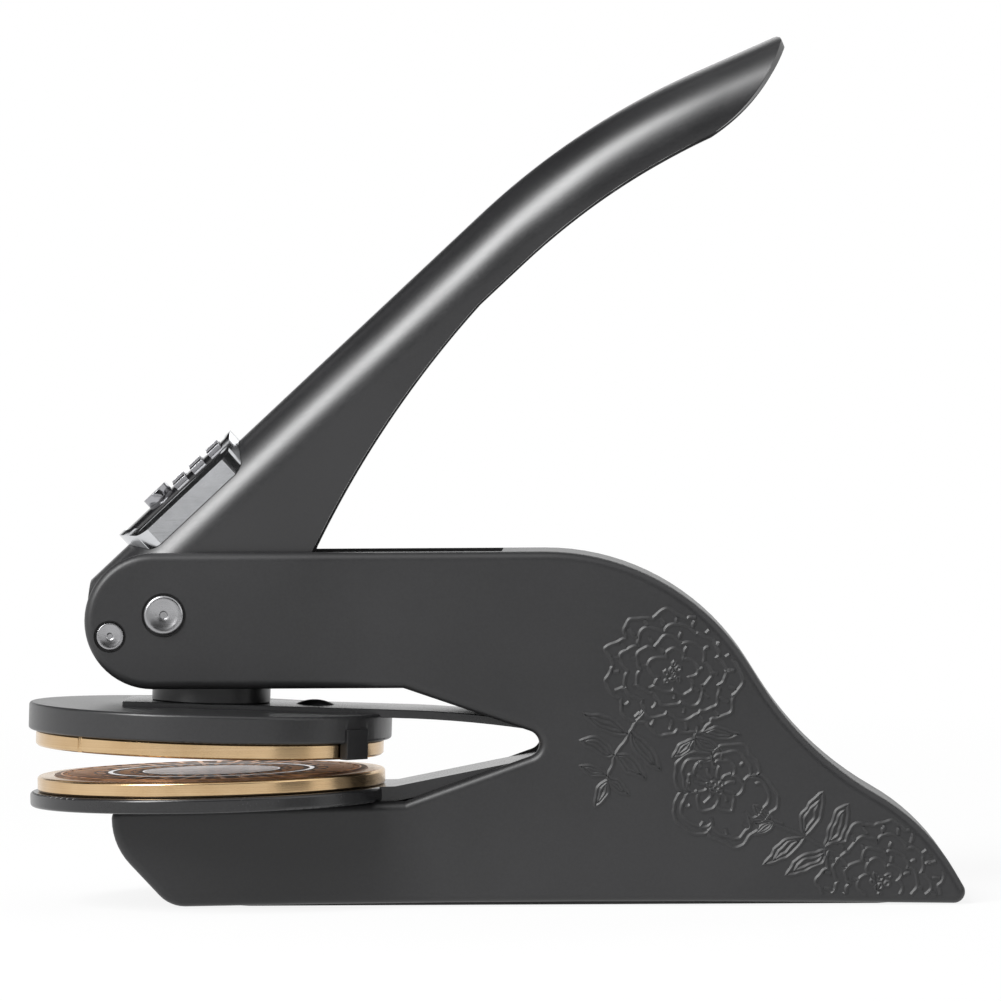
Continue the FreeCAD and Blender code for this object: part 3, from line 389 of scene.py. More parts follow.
# %% [markdown]
# ## Turned brass, steel and plating
# The die bodies are turned on a lathe, so their marks are circles round the die axis: the distance from that
# axis drives a fine ripple on the flat faces, and height does the same on the rim. A slow noise tints the
# brass a little, as handling does. The other metals have clouds and short scratches only.

# %% Brass, steel and plating
ring_pitch = 0.28 * MM


def turned_metal(name, bright, dull, roughness, centre):
    metal = Finish(name, Metallic=1.0)
    x, y, _ = metal.axes(centre)
    radius = (x * x + y * y) ** 0.5
    rings = (radius * (TURN / ring_pitch)).sine()
    lines = metal.noise(60.0, 2.0, (0.02, 0.02, 60.0))
    cloud = metal.noise(120.0, 3.0)
    metal.set("Base Color", metal.mix((cloud * 0.7 + lines * 0.3).clipped(0.35, 0.68), bright, dull))
    metal.set("Roughness", (cloud - 0.5) * 0.12 + (lines - 0.5) * 0.14 + roughness)
    metal.bump(rings * 0.35 + lines, 3e-6)
    return metal.material


def plain_metal(name, colour, roughness, scratch=0.06):
    metal = Finish(name, Metallic=1.0)
    cloud = metal.noise(300.0, 3.0)
    streak = metal.noise(220.0, 3.0, (1.0, 1.0, 9.0))
    metal.set("Base Color", metal.mix(cloud.clipped(0.3, 0.7), colour, tuple(c * 0.86 for c in colour)))
    metal.set("Roughness", (cloud - 0.5) * scratch + (streak - 0.5) * scratch + roughness)
    metal.bump(streak, 2e-6)
    return metal.material


brass = turned_metal("turned_brass", (0.68, 0.49, 0.285), (0.54, 0.365, 0.19), 0.22, (die_x, 0, 0))
bush_brass = plain_metal("bush_brass", (0.70, 0.52, 0.26), 0.35)
plated = plain_metal("bright_plating", (0.66, 0.67, 0.69), 0.15)
head_plating = plain_metal("head_plating", (0.40, 0.40, 0.41), 0.27, 0.10)
emblem_plating = plain_metal("emblem_plating", (0.40, 0.40, 0.42), 0.20)
zinc = plain_metal("zinc_steel", (0.52, 0.53, 0.55), 0.34)
dark_steel = plain_metal("dark_steel", (0.05, 0.05, 0.055), 0.38)
ground_steel = plain_metal("ground_steel", (0.34, 0.34, 0.35), 0.36)
print("metals ready")

# %% [markdown]
# ## Rubber, nylon and gloss black
# None of these is a metal, so one fine grain is enough: it darkens the colour, roughens the sheen and lifts
# the surface together. The badge's inlay is nearly smooth, and the sole is the dullest of the three.

# %% Rubber, nylon, gloss black
def soft_matter(name, colour, roughness, bump=1.2e-5, scale=1500.0):
    stuff = Finish(name, Metallic=0.0)
    grain = stuff.noise(scale, 3.0)
    stuff.set("Base Color", stuff.mix(grain.clipped(0.3, 0.7), colour, tuple(c * 0.75 for c in colour)))
    stuff.set("Roughness", (grain - 0.5) * 0.12 + roughness)
    stuff.bump(grain, bump)
    return stuff.material


sole_rubber = soft_matter("sole_rubber", (0.018, 0.018, 0.018), 0.78)
nylon = soft_matter("washer_nylon", (0.62, 0.61, 0.58), 0.45, 4e-6)
inlay_black = soft_matter("inlay_black", (0.008, 0.008, 0.009), 0.16, 1e-6, 700.0)
print("soft finishes ready")

# %% [markdown]
# ## The die faces, with painted highlights on their marks
# The ground is a dull reddish brown that clouds from place to place. The raised marks stand too little proud
# to catch light of their own, so their brass is made a bright coppery colour: a painted highlight on them.

# %% Die face finishes
die_ground = Finish("die_ground", Metallic=0.75)
ground_cloud = die_ground.noise(420.0, 4.0)
ground_fine = die_ground.noise(2400.0, 2.0)
die_ground.set("Base Color", die_ground.mix((ground_cloud * 0.7 + ground_fine * 0.3).clipped(0.36, 0.66),
                                            (0.34, 0.19, 0.11), (0.10, 0.055, 0.035)))
die_ground.set("Roughness", (ground_cloud - 0.5) * 0.3 + 0.45)
die_ground.bump(ground_fine, 8e-6)
# The marks' brass, brightened as a painted highlight on their raised tops.
die_mark = plain_metal("die_mark", (0.86, 0.42, 0.15), 0.30, 0.14)
die_middle = plain_metal("die_middle", (0.42, 0.36, 0.36), 0.24, 0.08)
print("die finishes ready")

# %% [markdown]
# ## The lever
# The lever is one strip of sheet steel, pressed into a channel: a half-round crown, two flat skirts, and an
# open underside. Seen from the side its crown is a straight line that bends over into the grip. The skirts
# end on a second line, which runs from the hub by the pivot up to the cut-back tip. A grid ruled between
# these two lines is therefore the whole shape: each grid point's depth below the crown says how far it has
# come round the half circle. Solidify then gives the sheet its thickness, and a bevel breaks its edges.

# %% The crown and the under edge
lever_slope = 42.8
lever_straight = 76.8 * MM
bend_radius = 110.0 * MM
bend_turn = 19.3
tip_straight = 12.2 * MM
sheet = 1.3 * MM
root_radius = 8.0 * MM
grip_radius = 9.3 * MM
tip_radius = 8.9 * MM
tip_overrun = 8.0 * MM
grip_depth = 9.3 * MM
flare_place = 48.0 * MM
flare_depth = grip_depth + 3.0 * MM
waist_place = lever_straight - 9.0 * MM
nose_radius = 0.9 * MM
nose_turn = 80.0
nose_steps = 8
tip_cut_length = 13.8 * MM
tip_cut_bulge = 1.5 * MM
foot = pivot + Vector((-11.05 * MM, 0, 4.8 * MM))
bend_length = math.radians(bend_turn) * bend_radius
crown_length = lever_straight + bend_length + tip_straight
bend_start = polar(foot, lever_straight, lever_slope)
bend_centre = polar(bend_start, bend_radius, lever_slope - 90)


def crown(length):
    """A place on the crown line this far along from the foot, and the heading there, in degrees."""
    if length <= lever_straight:
        return polar(foot, length, lever_slope), lever_slope
    turned = min(bend_turn, math.degrees((length - lever_straight) / bend_radius))
    place = polar(bend_centre, bend_radius, lever_slope + 90 - turned)
    rest = max(0.0, length - lever_straight - bend_length)
    return polar(place, rest, lever_slope - turned), lever_slope - turned


def crown_radius(length):
    """Half the channel's width: slim between the cheeks, wider at the grip."""
    knots = [(0.0, root_radius), (lever_straight * 0.5, root_radius),
             (lever_straight, (root_radius + grip_radius) / 2),
             (lever_straight + bend_length * 0.55, grip_radius), (lever_straight + bend_length, grip_radius),
             (crown_length + tip_overrun, tip_radius)]
    for (a, ra), (b, rb) in zip(knots, knots[1:]):
        if length <= b:
            share = max(0.0, (length - a) / (b - a))
            return ra + (rb - ra) * share * share * (3 - 2 * share)
    return tip_radius


def arc_points(start, middle, end, count=24):
    """Points on the circle through three places, the last of them left out."""
    ax, az, bx, bz, cx, cz = start.x, start.z, middle.x, middle.z, end.x, end.z
    d = 2 * (ax * (bz - cz) + bx * (cz - az) + cx * (az - bz))
    a2, b2, c2 = ax * ax + az * az, bx * bx + bz * bz, cx * cx + cz * cz
    centre = Vector(((a2 * (bz - cz) + b2 * (cz - az) + c2 * (az - bz)) / d, 0,
                     (a2 * (cx - bx) + b2 * (ax - cx) + c2 * (bx - ax)) / d))
    angles = [math.atan2(p.z - centre.z, p.x - centre.x) for p in (start, middle, end)]
    for k in (1, 2):
        angles[k] = angles[k - 1] + math.remainder(angles[k] - angles[k - 1], TURN)
    radius = (start - centre).length
    return [polar(centre, radius, math.degrees(angles[0] + (angles[2] - angles[0]) * k / count))
            for k in range(count)]


def beside_crown(length, depth):
    place, heading = crown(length)
    return polar(place, depth, heading - 90)


hub_radius = 6.4 * MM
heel_z = pivot.z - 0.95 * MM
hub_front = pivot + Vector((-math.sqrt(hub_radius ** 2 - (pivot.z - heel_z) ** 2), 0, heel_z - pivot.z))
hub_low, hub_rear = [polar(pivot, hub_radius, angle) for angle in (-106, -52)]
front_low = Vector((foot.x - 0.3 * MM, 0, heel_z))
heel_low = pivot + Vector((20.2 * MM, 0, 6.4 * MM))
heel_top = pivot + Vector((21.2 * MM, 0, 9.2 * MM))
flare = beside_crown(flare_place, flare_depth)
waist = beside_crown(waist_place, grip_depth)
under_bend = beside_crown(lever_straight, grip_depth)
under_middle = beside_crown(lever_straight + bend_length * 0.6, grip_depth)
tip, tip_heading = crown(crown_length)
cut_low = beside_crown(crown_length - tip_cut_length, grip_depth)
nose_centre = polar(tip, nose_radius, tip_heading - 90)
nose_end = polar(nose_centre, nose_radius, tip_heading + 90 - nose_turn)
chord = nose_end - cut_low
cut_middle = (nose_end + cut_low) / 2 + Vector((chord.z, 0, -chord.x)).normalized() * tip_cut_bulge
print("lever is", round(crown_length / MM, 1), "mm along its crown")

# %% [markdown]
# The rulings must not cross. So the under edge is cut into stretches, and each stretch is matched with its
# own stretch of the crown: the hub with the first few centimetres, the heel with the next, and the grip
# with the bend, where crown and edge run side by side.

# %% Match the under edge with the crown
def along(points, share):
    """The place a share of the way along a run of points."""
    steps = [(b - a).length for a, b in zip(points, points[1:])]
    left = share * sum(steps)
    for a, b, step in zip(points, points[1:], steps):
        if left <= step:
            return a.lerp(b, left / step)
        left -= step
    return points[-1].copy()


hub_run = [front_low] + arc_points(hub_front, hub_low, hub_rear) + [hub_rear]
heel_run = [hub_rear, heel_low, heel_top]
flare_run = arc_points(heel_top, flare, waist) + [waist]
grip_run = [waist] + arc_points(under_bend, under_middle, cut_low) + [cut_low]
nose_run = [polar(nose_centre, nose_radius, tip_heading + 90 - nose_turn * k / nose_steps)
            for k in range(nose_steps, -1, -1)]
tip_run = arc_points(cut_low, cut_middle, nose_end) + nose_run
hub_reach = 17.0 * MM
heel_reach = 33.0 * MM
tip_start = crown_length - 5.0 * MM
stretches = [
    (0.0, hub_reach, hub_run, 26),
    (hub_reach, heel_reach, heel_run, 16),
    (heel_reach, waist_place, flare_run, 26),
    (waist_place, tip_start, grip_run, 36),
    (tip_start, crown_length, tip_run, 40),
]


def rulings():
    """Pairs of a length along the crown and the place on the under edge that it is ruled to."""
    pairs = [(0.0, hub_run[0].copy())]
    for start, end, run, count in stretches:
        for k in range(1, count + 1):
            pairs.append((start + (end - start) * k / count, along(run, k / count)))
    return pairs


def depth_below_crown(place):
    """How deep a side-view place lies below the crown line."""
    if (place - foot).dot(unit(lever_slope)) <= lever_straight:
        return (place - foot).dot(unit(lever_slope - 90))
    end, heading = crown(lever_straight + bend_length)
    if (place - end).dot(unit(heading)) >= 0:
        return (place - end).dot(unit(heading - 90))
    return bend_radius - (place - bend_centre).length


print("the channel has", len(rulings()), "rulings")

# %% [markdown]
# Along each ruling most of the grid points go to the half circle, in even steps of its angle, and the rest to
# the flat skirt below it. Where the edge lies higher than the half circle's end, all of them share the arc.

# %% Rule the channel
points_each_side = 30
arc_share = 0.72
least_depth = 0.0001 * MM
sheet_edge = 0.32 * MM
sheet_crease = math.radians(50)


def skin_depth(share, radius, deep):
    """How far below the crown a grid point lies, a share of the way down its ruling."""
    if share < arc_share:
        return min(radius, deep) * (1 - math.cos(share / arc_share * math.pi / 2))
    if deep > radius:
        return radius + (deep - radius) * (share - arc_share) / (1 - arc_share)
    return deep * (1 - 1e-4 * (1 - share))


def channel_mesh():
    """The channel's outer skin as a grid from one skirt's edge over the crown to the other's."""
    mesh = bmesh.new()
    grid = []
    for length, low in rulings():
        top, _ = crown(length)
        radius = crown_radius(length)
        deep = max(least_depth, depth_below_crown(low))
        side = []
        for k in range(points_each_side + 1):
            place = top.lerp(low, skin_depth(k / points_each_side, radius, deep) / deep)
            below = min(radius, max(0.0, depth_below_crown(place)))
            side.append((place, math.sqrt(radius ** 2 - (radius - below) ** 2)))
        row = [mesh.verts.new((p.x, -y, p.z)) for p, y in reversed(side)]
        row += [mesh.verts.new((p.x, y, p.z)) for p, y in side[1:]]
        grid.append(row)
    for a, b in zip(grid, grid[1:]):
        for p, q, r, s in zip(a, a[1:], b[1:], b):
            mesh.faces.new((p, q, r, s))
    bmesh.ops.remove_doubles(mesh, verts=mesh.verts, dist=1e-6)
    bmesh.ops.recalc_face_normals(mesh, faces=mesh.faces)
    probe = min(mesh.faces, key=lambda f: (f.calc_center_median() - crown(crown_length / 3)[0]).length)
    if probe.normal.z < 0:
        bmesh.ops.reverse_faces(mesh, faces=mesh.faces)
    return mesh


channel = raw_object("lever_raw", channel_mesh())
with_modifier(channel, "SOLIDIFY", thickness=sheet, offset=-1.0, use_even_offset=True, use_rim=True)
rounded(channel, sheet_edge, 3, sheet_crease)
piece("lever_channel", baked(channel), "lever", lever_coat, replaces=("handle",), crease=sheet_crease)

# %% [markdown]
# ## Everything that the model already shapes well
# The casting keeps its own mesh, which is finely divided and carries true normals. Turned, stamped and
# machined pieces get a copy with its sharp edges broken, since no real edge is perfectly sharp and the
# light on a small bevel is what makes a machined piece read as metal.

# %% Materials on kept nodes, soft edges on copies
kept = {"frame_casting": casting_coat, "sole_pad": sole_rubber, "pivot_washers": nylon,
        "leaf_screws": dark_steel, "clip_block": zinc, "clip_rivets": zinc, "clip_screw": dark_steel,
        "cam_rivets": zinc, "cam_bush": bush_brass, "badge_push_nuts": zinc}
for node, material in kept.items():
    mesh = frame["nodes"][node].data
    if not mesh.materials:
        mesh.materials.append(material)
    for k in range(len(mesh.materials)):
        mesh.materials[k] = material

soft_edges = {"cam": (0.25, ground_steel), "lower_leaf": (0.25, leaf_black), "upper_leaf": (0.25, leaf_black),
              "upper_pad": (0.15, pad_coat), "press_boss": (0.2, pad_coat), "leaf_rivet": (0.12, dark_steel),
              "lower_die": (0.12, brass), "upper_die": (0.12, brass), "pivot_screw": (0.12, plated),
              "stop_screw": (0.1, plated), "badge_inlay": (0.05, inlay_black),
              "badge_emblem": (0.15, emblem_plating), "lower_die_face": (0.1, die_ground.material),
              "upper_die_face": (0.1, die_ground.material)}
for node, (millimetres, material) in soft_edges.items():
    softened(node, millimetres * MM, material)

# %% [markdown]
# ## The badge's rim
# The plated rim is a small casting with round corners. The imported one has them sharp, so a copy of it is cut
# with a prism of the same plan, arched at both ends, whose four corners are rounded. The prism is a shade
# larger elsewhere, so that it takes nothing but the corners. The rim's edges are broken after that.

# %% Round the rim's corners
badge_first, badge_last = 9.9 * MM, 27.2 * MM
foot_bulge, head_bulge = 2.6 * MM, 2.1 * MM
badge_corner = 2.0 * MM
badge_spare = 0.03 * MM
rim_edge = 0.45 * MM
prism_height = 30.0 * MM
arch_steps = 16


def arched(base, bulge, half, side):
    """One bowed end of the badge's plan, as places along and across the crown line."""
    reach = (half * half + bulge * bulge) / (2 * abs(bulge))
    turn = math.asin(half / reach)
    sign = math.copysign(1.0, bulge)
    angles = [turn * (1 - 2 * k / arch_steps) for k in range(arch_steps + 1)]
    return [(base + sign * (abs(bulge) - reach + reach * math.cos(a)), -side * reach * math.sin(a))
            for a in angles]


def badge_prism(half):
    """The badge's plan as a tall prism with round corners, square to the crown line."""
    along_line = unit(lever_slope)
    away = unit(lever_slope + 90)
    plan = arched(badge_last, head_bulge, half, 1) + arched(badge_first, -foot_bulge, half, -1)
    mesh = bmesh.new()
    low = [mesh.verts.new(foot + along_line * u + Vector((0, v, 0)) - away * (prism_height / 2))
           for u, v in plan]
    mesh.faces.new(low)
    corners = [low[0], low[arch_steps], low[arch_steps + 1], low[-1]]
    bmesh.ops.bevel(mesh, geom=corners, offset=badge_corner, segments=5, profile=0.5, affect="VERTICES")
    top = bmesh.ops.extrude_face_region(mesh, geom=list(mesh.faces))["geom"]
    bmesh.ops.translate(mesh, verts=[v for v in top if isinstance(v, bmesh.types.BMVert)],
                        vec=away * prism_height)
    bmesh.ops.recalc_face_normals(mesh, faces=mesh.faces)
    return mesh


rim_low, rim_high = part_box("badge_bezel")
prism = raw_object("badge_prism", badge_prism((rim_high.y - rim_low.y) / 2 + badge_spare))
rim = raw_object("badge_rim_raw", merged_copy("badge_bezel"))
with_modifier(rim, "BOOLEAN", operation="INTERSECT", solver="EXACT", object=prism)
rounded(rim, rim_edge, 4)
piece("badge_rim", baked(rim), node_body["badge_bezel"], plated, replaces=("badge_bezel",))
bpy.data.objects.remove(prism)

# %% [markdown]
# ## The barrels' dished heads
# The two cross pins show dished heads on the front cheek, turned in a lathe. Such a piece is one profile
# swept round its axis: radius and depth behind the face, from the middle of the dish over the rim and down
# the shank. Its lengths come from the node's own box.

# %% Turn a barrel
barrel_steps = 64
shank_share = 0.87
barrel_chamfer = 0.2 * MM


def turned_barrel(node, head_height, rim, pit):
    low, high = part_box(node)
    centre_x, centre_z = (low.x + high.x) / 2, (low.z + high.z) / 2
    radius = (high.x - low.x) / 2
    length = high.y - low.y
    shank = radius * shank_share
    dish = radius - rim * 1.5
    profile = [(0.0, pit * 1.6), (dish * 0.22, pit * 1.55), (dish * 0.28, pit * 1.05)]
    profile += [(dish * k / 8, pit * (1 - (k / 8) ** 2)) for k in range(3, 9)]
    profile += [(radius - rim + rim * math.sin(math.radians(a)), rim - rim * math.cos(math.radians(a)))
                for a in (0, 22, 45, 68, 90)]
    profile += [(radius, head_height), (shank, head_height), (shank, length - barrel_chamfer),
                (shank - barrel_chamfer, length), (0.0, length)]
    mesh = bmesh.new()
    angles = [TURN * k / barrel_steps for k in range(barrel_steps)]
    rows = []
    for r, depth in profile:
        y = low.y + depth
        if r == 0.0:
            rows.append([mesh.verts.new((centre_x, y, centre_z))] * barrel_steps)
        else:
            rows.append([mesh.verts.new((centre_x + r * math.cos(a), y, centre_z + r * math.sin(a)))
                         for a in angles])
    for a, b in zip(rows, rows[1:]):
        for k in range(barrel_steps):
            corners = [a[k], a[(k + 1) % barrel_steps], b[(k + 1) % barrel_steps], b[k]]
            mesh.faces.new(list(dict.fromkeys(corners)))
    bmesh.ops.recalc_face_normals(mesh, faces=mesh.faces)
    piece(node + "_turned", mesh, node_body[node], head_plating, replaces=(node,))


turned_barrel("pivot_barrel", 1.15 * MM, 0.42 * MM, 0.4 * MM)
turned_barrel("stop_barrel", 0.6 * MM, 0.25 * MM, 0.25 * MM)

# %% [markdown]
# ## The cast flowers on the cheeks
# Both cheeks carry a raised floral ornament behind the throat: two double blooms, an open rose between them,
# and leafy sprays, all drawn with one fine rounded line. In the real mould the line is a shallow groove. Here
# the drawing is made first, as bare edges in the XZ plane in millimetres. Each petal ring is a circle whose
# radius swells and dips with the sine of the angle, which gives lobes with a cusp between them.

# %% Petals, veins and stamens
LOBE_POWER = 0.33
SEED_TURN = 2.39996


def edge_circle(growth, count, radius):
    return growth.node("GeometryNodeMeshCircle", {"fill_type": "NONE"}, {"Vertices": count, "Radius": radius})


def hub(growth, count):
    """A number of points in one place, to be moved or to carry copies."""
    return growth.node("GeometryNodePoints", values={"Count": count})


def bow_line(growth, start, middle, end, steps):
    """A bowed line as a curve."""
    return growth.node("GeometryNodeCurveQuadraticBezier", values={"Resolution": steps, "Start": start,
                                                                    "Middle": middle, "End": end})


def petal_ring(growth, petals, outer, inner, start=0.0, ripple=0.0, count=220):
    """A closed ring of round petals between two radii."""
    angle = growth.index() * (TURN / count)
    swell = ((angle * (petals / 2) + start).sine() ** 2) ** LOBE_POWER
    radius = swell * (outer - inner) + inner + (angle * (petals * 2) + 4 * start).cosine() * ripple
    return growth.placed(edge_circle(growth, count, 1.0),
                         growth.vector(radius * angle.cosine(), 0.0, radius * angle.sine()))


def veins(growth, count, near, far, start, bow=0.2):
    """Short bowed lines that run outwards, evenly round a centre."""
    line = bow_line(growth, (near, 0, 0), ((near + far) / 2, 0, (far - near) * bow), (far, 0, 0), 5)
    return growth.repeated(hub(growth, count), growth.swept(line),
                           growth.vector(0.0, growth.index() * (-TURN / count) - start, 0.0))


def stamens(growth, count, reach, size):
    """Tiny rings on a spiral, as seeds lie in a flower's eye."""
    angle = growth.index() * SEED_TURN
    distance = (growth.index() + 0.3) ** 0.5 * (reach / count ** 0.5)
    spiral = growth.placed(hub(growth, count),
                           growth.vector(distance * angle.cosine(), 0.0, distance * angle.sine()))
    return growth.repeated(spiral, growth.moved(edge_circle(growth, 6, size), turn=(math.pi / 2, 0, 0)))


def double_bloom(growth):
    """A full flower of radius 1: three rings of petals and a bud, their creases, and the eye."""
    rings = ((11, 1.0, 0.84, 0.4, 0.012), (9, 0.78, 0.63, 0.1, 0.012), (7, 0.56, 0.44, 0.7, 0.008),
             (5, 0.36, 0.24, 0.2))
    creases = ((11, 0.76, 0.84, -0.22), (22, 0.80, 0.90, 0.05, 0.08), (9, 0.55, 0.64, 0.3),
               (7, 0.35, 0.44, 0.5))
    return growth.joined([petal_ring(growth, *ring) for ring in rings]
                         + [veins(growth, *crease) for crease in creases] + [stamens(growth, 8, 0.17, 0.035)])


def open_rose(growth):
    """A wild rose of radius 1: five broad petals with a doubled edge, and rays from its eye."""
    eye = growth.joined([petal_ring(growth, 6, 0.52, 0.36, 0.1, 0.012), veins(growth, 11, 0.15, 0.38, 0.1),
                         stamens(growth, 6, 0.12, 0.04)])
    return growth.joined([
        petal_ring(growth, 5, 1.0, 0.74, 0.5, 0.018), petal_ring(growth, 5, 0.86, 0.60, 0.5, 0.018),
        growth.moved(eye, (-0.20, 0, 0.08)), veins(growth, 5, 0.50, 0.74, -0.2),
        veins(growth, 10, 0.64, 0.76, 0.2)])


# %% Leaves and sprays
def leaf(growth, width=0.17, count=36):
    """A pointed leaf of length 1 along +X, with a smaller outline inside it."""
    outlines = []
    for start, length, wide in ((0.0, 1.0, width), (0.14, 0.68, width * 0.42)):
        share = growth.index() * (2.0 / count)
        gone = (1.0 - share) * (1.0 - share)
        x = (1.0 - gone ** 0.5) * length + start
        outlines.append(growth.placed(edge_circle(growth, count, 1.0),
                                      growth.vector(x, 0.0, (share * math.pi).sine() * wide)))
    return growth.joined(outlines)


def spray(growth, stem_points, pairs, length, spreads, reach, drop, tip_leaf=False):
    """A bowed stem with leaves along both sides and, if wanted, one at its end."""
    start, middle, end = [(x, 0, z) for x, z in stem_points]
    stem = bow_line(growth, start, middle, end, 20)
    parts = [growth.swept(stem)]
    for spread in spreads:
        shift = 0.0 if spread > 0 else 0.04
        part = growth.node("GeometryNodeTrimCurve", {"mode": "FACTOR"},
                           {0: stem, 2: reach[0] + shift, 3: reach[1]})
        points = growth.node("GeometryNodeCurveToPoints", {"mode": "COUNT"}, {"Curve": part, "Count": pairs})
        x, _, z = growth.split(Wire(growth, points.socket.node.outputs["Tangent"]))
        heading = z.angle_over(x) + spread
        size = length - growth.index() * (length * drop)
        parts.append(growth.repeated(points, leaf(growth), growth.vector(0.0, heading * -1.0, 0.0),
                                     growth.vector(size, size, size)))
    if tip_leaf:
        heading = math.atan2(end[2] - middle[2], end[0] - middle[0])
        size = length * (1 - drop * pairs * 0.7)
        parts.append(growth.moved(leaf(growth), end, (0, -heading, 0), (size, size, size)))
    return growth.joined(parts)


# %% [markdown]
# The drawing is then laid on the cheek. A slow noise moves every point a little, as a carver's hand would.
# Rays sent at the casting itself find where the cheek is flat, a little way round each point, and what lies
# off the edge is cut away, so the ornament ends by itself at the base and along the back. What is left
# becomes curves and gets a round section, whose middle lies a little below the cheek's face.

# %% Lay the drawing on the cheeks
line_sunk = 0.13 * MM
edge_margin = 0.45 * MM


def where_flat(growth, target, side):
    """1 at the points round which the cheek is whole in all four directions, else 0."""
    flat = 1.0
    for dx, dz in ((1, 1), (1, -1), (-1, 1), (-1, -1)):
        source = growth.node("ShaderNodeVectorMath", {"operation": "ADD"}, {
            0: growth.node("GeometryNodeInputPosition"), 1: (dx * edge_margin, side * MM, dz * edge_margin)})
        flat = flat * growth.node("GeometryNodeRaycast", values={
            "Target Geometry": target, "Source Position": source, "Ray Direction": (0, -side, 0),
            "Ray Length": MM}, output="Is Hit")
    return flat


def on_cheeks(growth, drawing):
    noise = growth.node("ShaderNodeTexNoise", values={"Vector": growth.node("GeometryNodeInputPosition"),
                                                      "Scale": 0.35, "Detail": 1.0}, output="Color")
    across, _, up = growth.split(noise)
    wander = growth.vector((across - 0.5) * growth.size("Wander"), 0.0, (up - 0.5) * growth.size("Wander"))
    real = growth.node("GeometryNodeRealizeInstances", values={0: drawing})
    drawn = growth.node("GeometryNodeSetPosition", values={"Geometry": real, "Offset": wander})
    target = growth.node("GeometryNodeObjectInfo", {"transform_space": "ORIGINAL"},
                         {"Object": frame["nodes"]["frame_casting"]}, output="Geometry")
    lines = []
    for side in (-1.0, 1.0):
        laid = growth.moved(drawn, (0, side * (cheek_y - line_sunk), 0), (0, 0, 0), (MM, MM, MM))
        trimmed = growth.node("GeometryNodeDeleteGeometry", {"domain": "POINT"},
                              {"Geometry": laid, "Selection": 1.0 - where_flat(growth, target, side)})
        curves = growth.node("GeometryNodeMeshToCurve", values={"Mesh": trimmed})
        section = growth.node("GeometryNodeCurvePrimitiveCircle", values={"Resolution": 6,
                                                                         "Radius": growth.size("Line")})
        lines.append(growth.swept(curves, section, True))
    return growth.joined(lines)


relief = Growth("cheek_relief", Line=0.36 * MM, Wander=1.7)
drawing = relief.joined([
    relief.moved(double_bloom(relief), (25.6, 0, 33.1), (0, 0.3, 0), (9.9, 9.9, 9.0)),
    relief.moved(open_rose(relief), (32.5, 0, 15.7), (0, 0.5, 0), (7.9, 7.9, 7.3)),
    relief.moved(double_bloom(relief), (54.9, 0, 2.9), (0, 1.1, 0), (9.2, 9.2, 9.2)),
    spray(relief, ((21.4, 27.6), (18.6, 24.4), (15.9, 18.0)), 3, 6.8, (1.25, -1.5), (0.34, 0.95), 0.2, True),
    spray(relief, ((29.0, 25.2), (28.0, 23.4), (29.0, 21.6)), 1, 3.9, (1.2, -0.9), (0.45, 0.8), 0.1),
    spray(relief, ((50.6, 5.2), (45.6, 9.8), (36.4, 12.4)), 2, 7.0, (1.05, -1.5), (0.24, 0.50), 0.06),
    spray(relief, ((41.0, 11.4), (39.0, 12.0), (36.6, 12.4)), 1, 3.6, (0.8, -0.5), (0.3, 0.8), 0.1),
    relief.moved(leaf(relief, 0.12), (29.4, 0, 24.5), (0, 0.02, 0), (5.6, 5.6, 5.6))])
relief_mesh = relief.grown("cheek_relief", on_cheeks(relief, drawing), casting_coat)
piece("cheek_relief", relief_mesh, node_body["frame_casting"], casting_coat)

# %% [markdown]
# ## What the dies carry
# A real pair of dies carries its owner's seal, which this part leaves out. In its place is a plain guilloche
# of bars and dots in two bands, with a bright ring between them and a smooth middle. It stands only a few
# hundredths of a millimetre proud, as the paper goes between the two. The flat side of each face is measured
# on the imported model, because both dies lean a little.

# %% The flat side of a die face
def flat_side(node, up):
    """The matrix that lays a drawing on a node's flat side, which looks up (+1) or down (-1)."""
    flat = [face for face in frame["nodes"][node].data.polygons if face.normal.z * up > 0.9]
    area = sum(face.area for face in flat)
    normal = sum((face.normal * face.area for face in flat), Vector()) / area
    middle = sum((face.center * face.area for face in flat), Vector()) / area
    return Matrix.Translation(middle) @ normal.to_track_quat("Z", "X").to_matrix().to_4x4()


face_reach = (lower_face_box[1].y - lower_face_box[0].y) / 2
print("die faces reach", round(face_reach / MM, 2), "mm from their axis")


# %% Grow the bars, the dots and the ring
def die_growth(name, make, material, node, up):
    growth = Growth(name, Reach=face_reach, Proud=0.05 * MM, Bars=44, Dots=26)
    mesh = growth.grown(name, make(growth), material)
    mesh.transform(flat_side(node, up))
    piece(name, mesh, node_body[node], material)


def spoke_row(growth, thing, count, share):
    """Copies of a thing on a circle whose radius is a share of the face's, each turned to face outwards."""
    angle = growth.index() * TURN / count
    reach = growth.size("Reach") * share
    ring = growth.placed(hub(growth, count), growth.vector(reach * angle.cosine(), reach * angle.sine(), 0.0))
    return growth.repeated(ring, thing, growth.vector(0.0, 0.0, angle))


def bar(growth, length, width):
    reach, tall = growth.size("Reach"), growth.size("Proud") * 2.0
    size = growth.vector(reach * length, reach * width, tall)
    return growth.node("GeometryNodeMeshCube", values={"Size": size})


def disc(growth, radius, sides=10, tall=2.0):
    return growth.node("GeometryNodeMeshCylinder", values={
        "Vertices": sides, "Radius": growth.size("Reach") * radius, "Depth": growth.size("Proud") * tall})


def hoop(growth, share, width):
    """A flat ring round the face's middle."""
    reach = growth.size("Reach")
    circle = growth.node("GeometryNodeCurvePrimitiveCircle",
                         values={"Resolution": 128, "Radius": reach * share})
    section = growth.node("GeometryNodeCurvePrimitiveQuadrilateral", values={
        "Width": reach * width, "Height": growth.size("Proud") * 2.0})
    return growth.swept(circle, section)


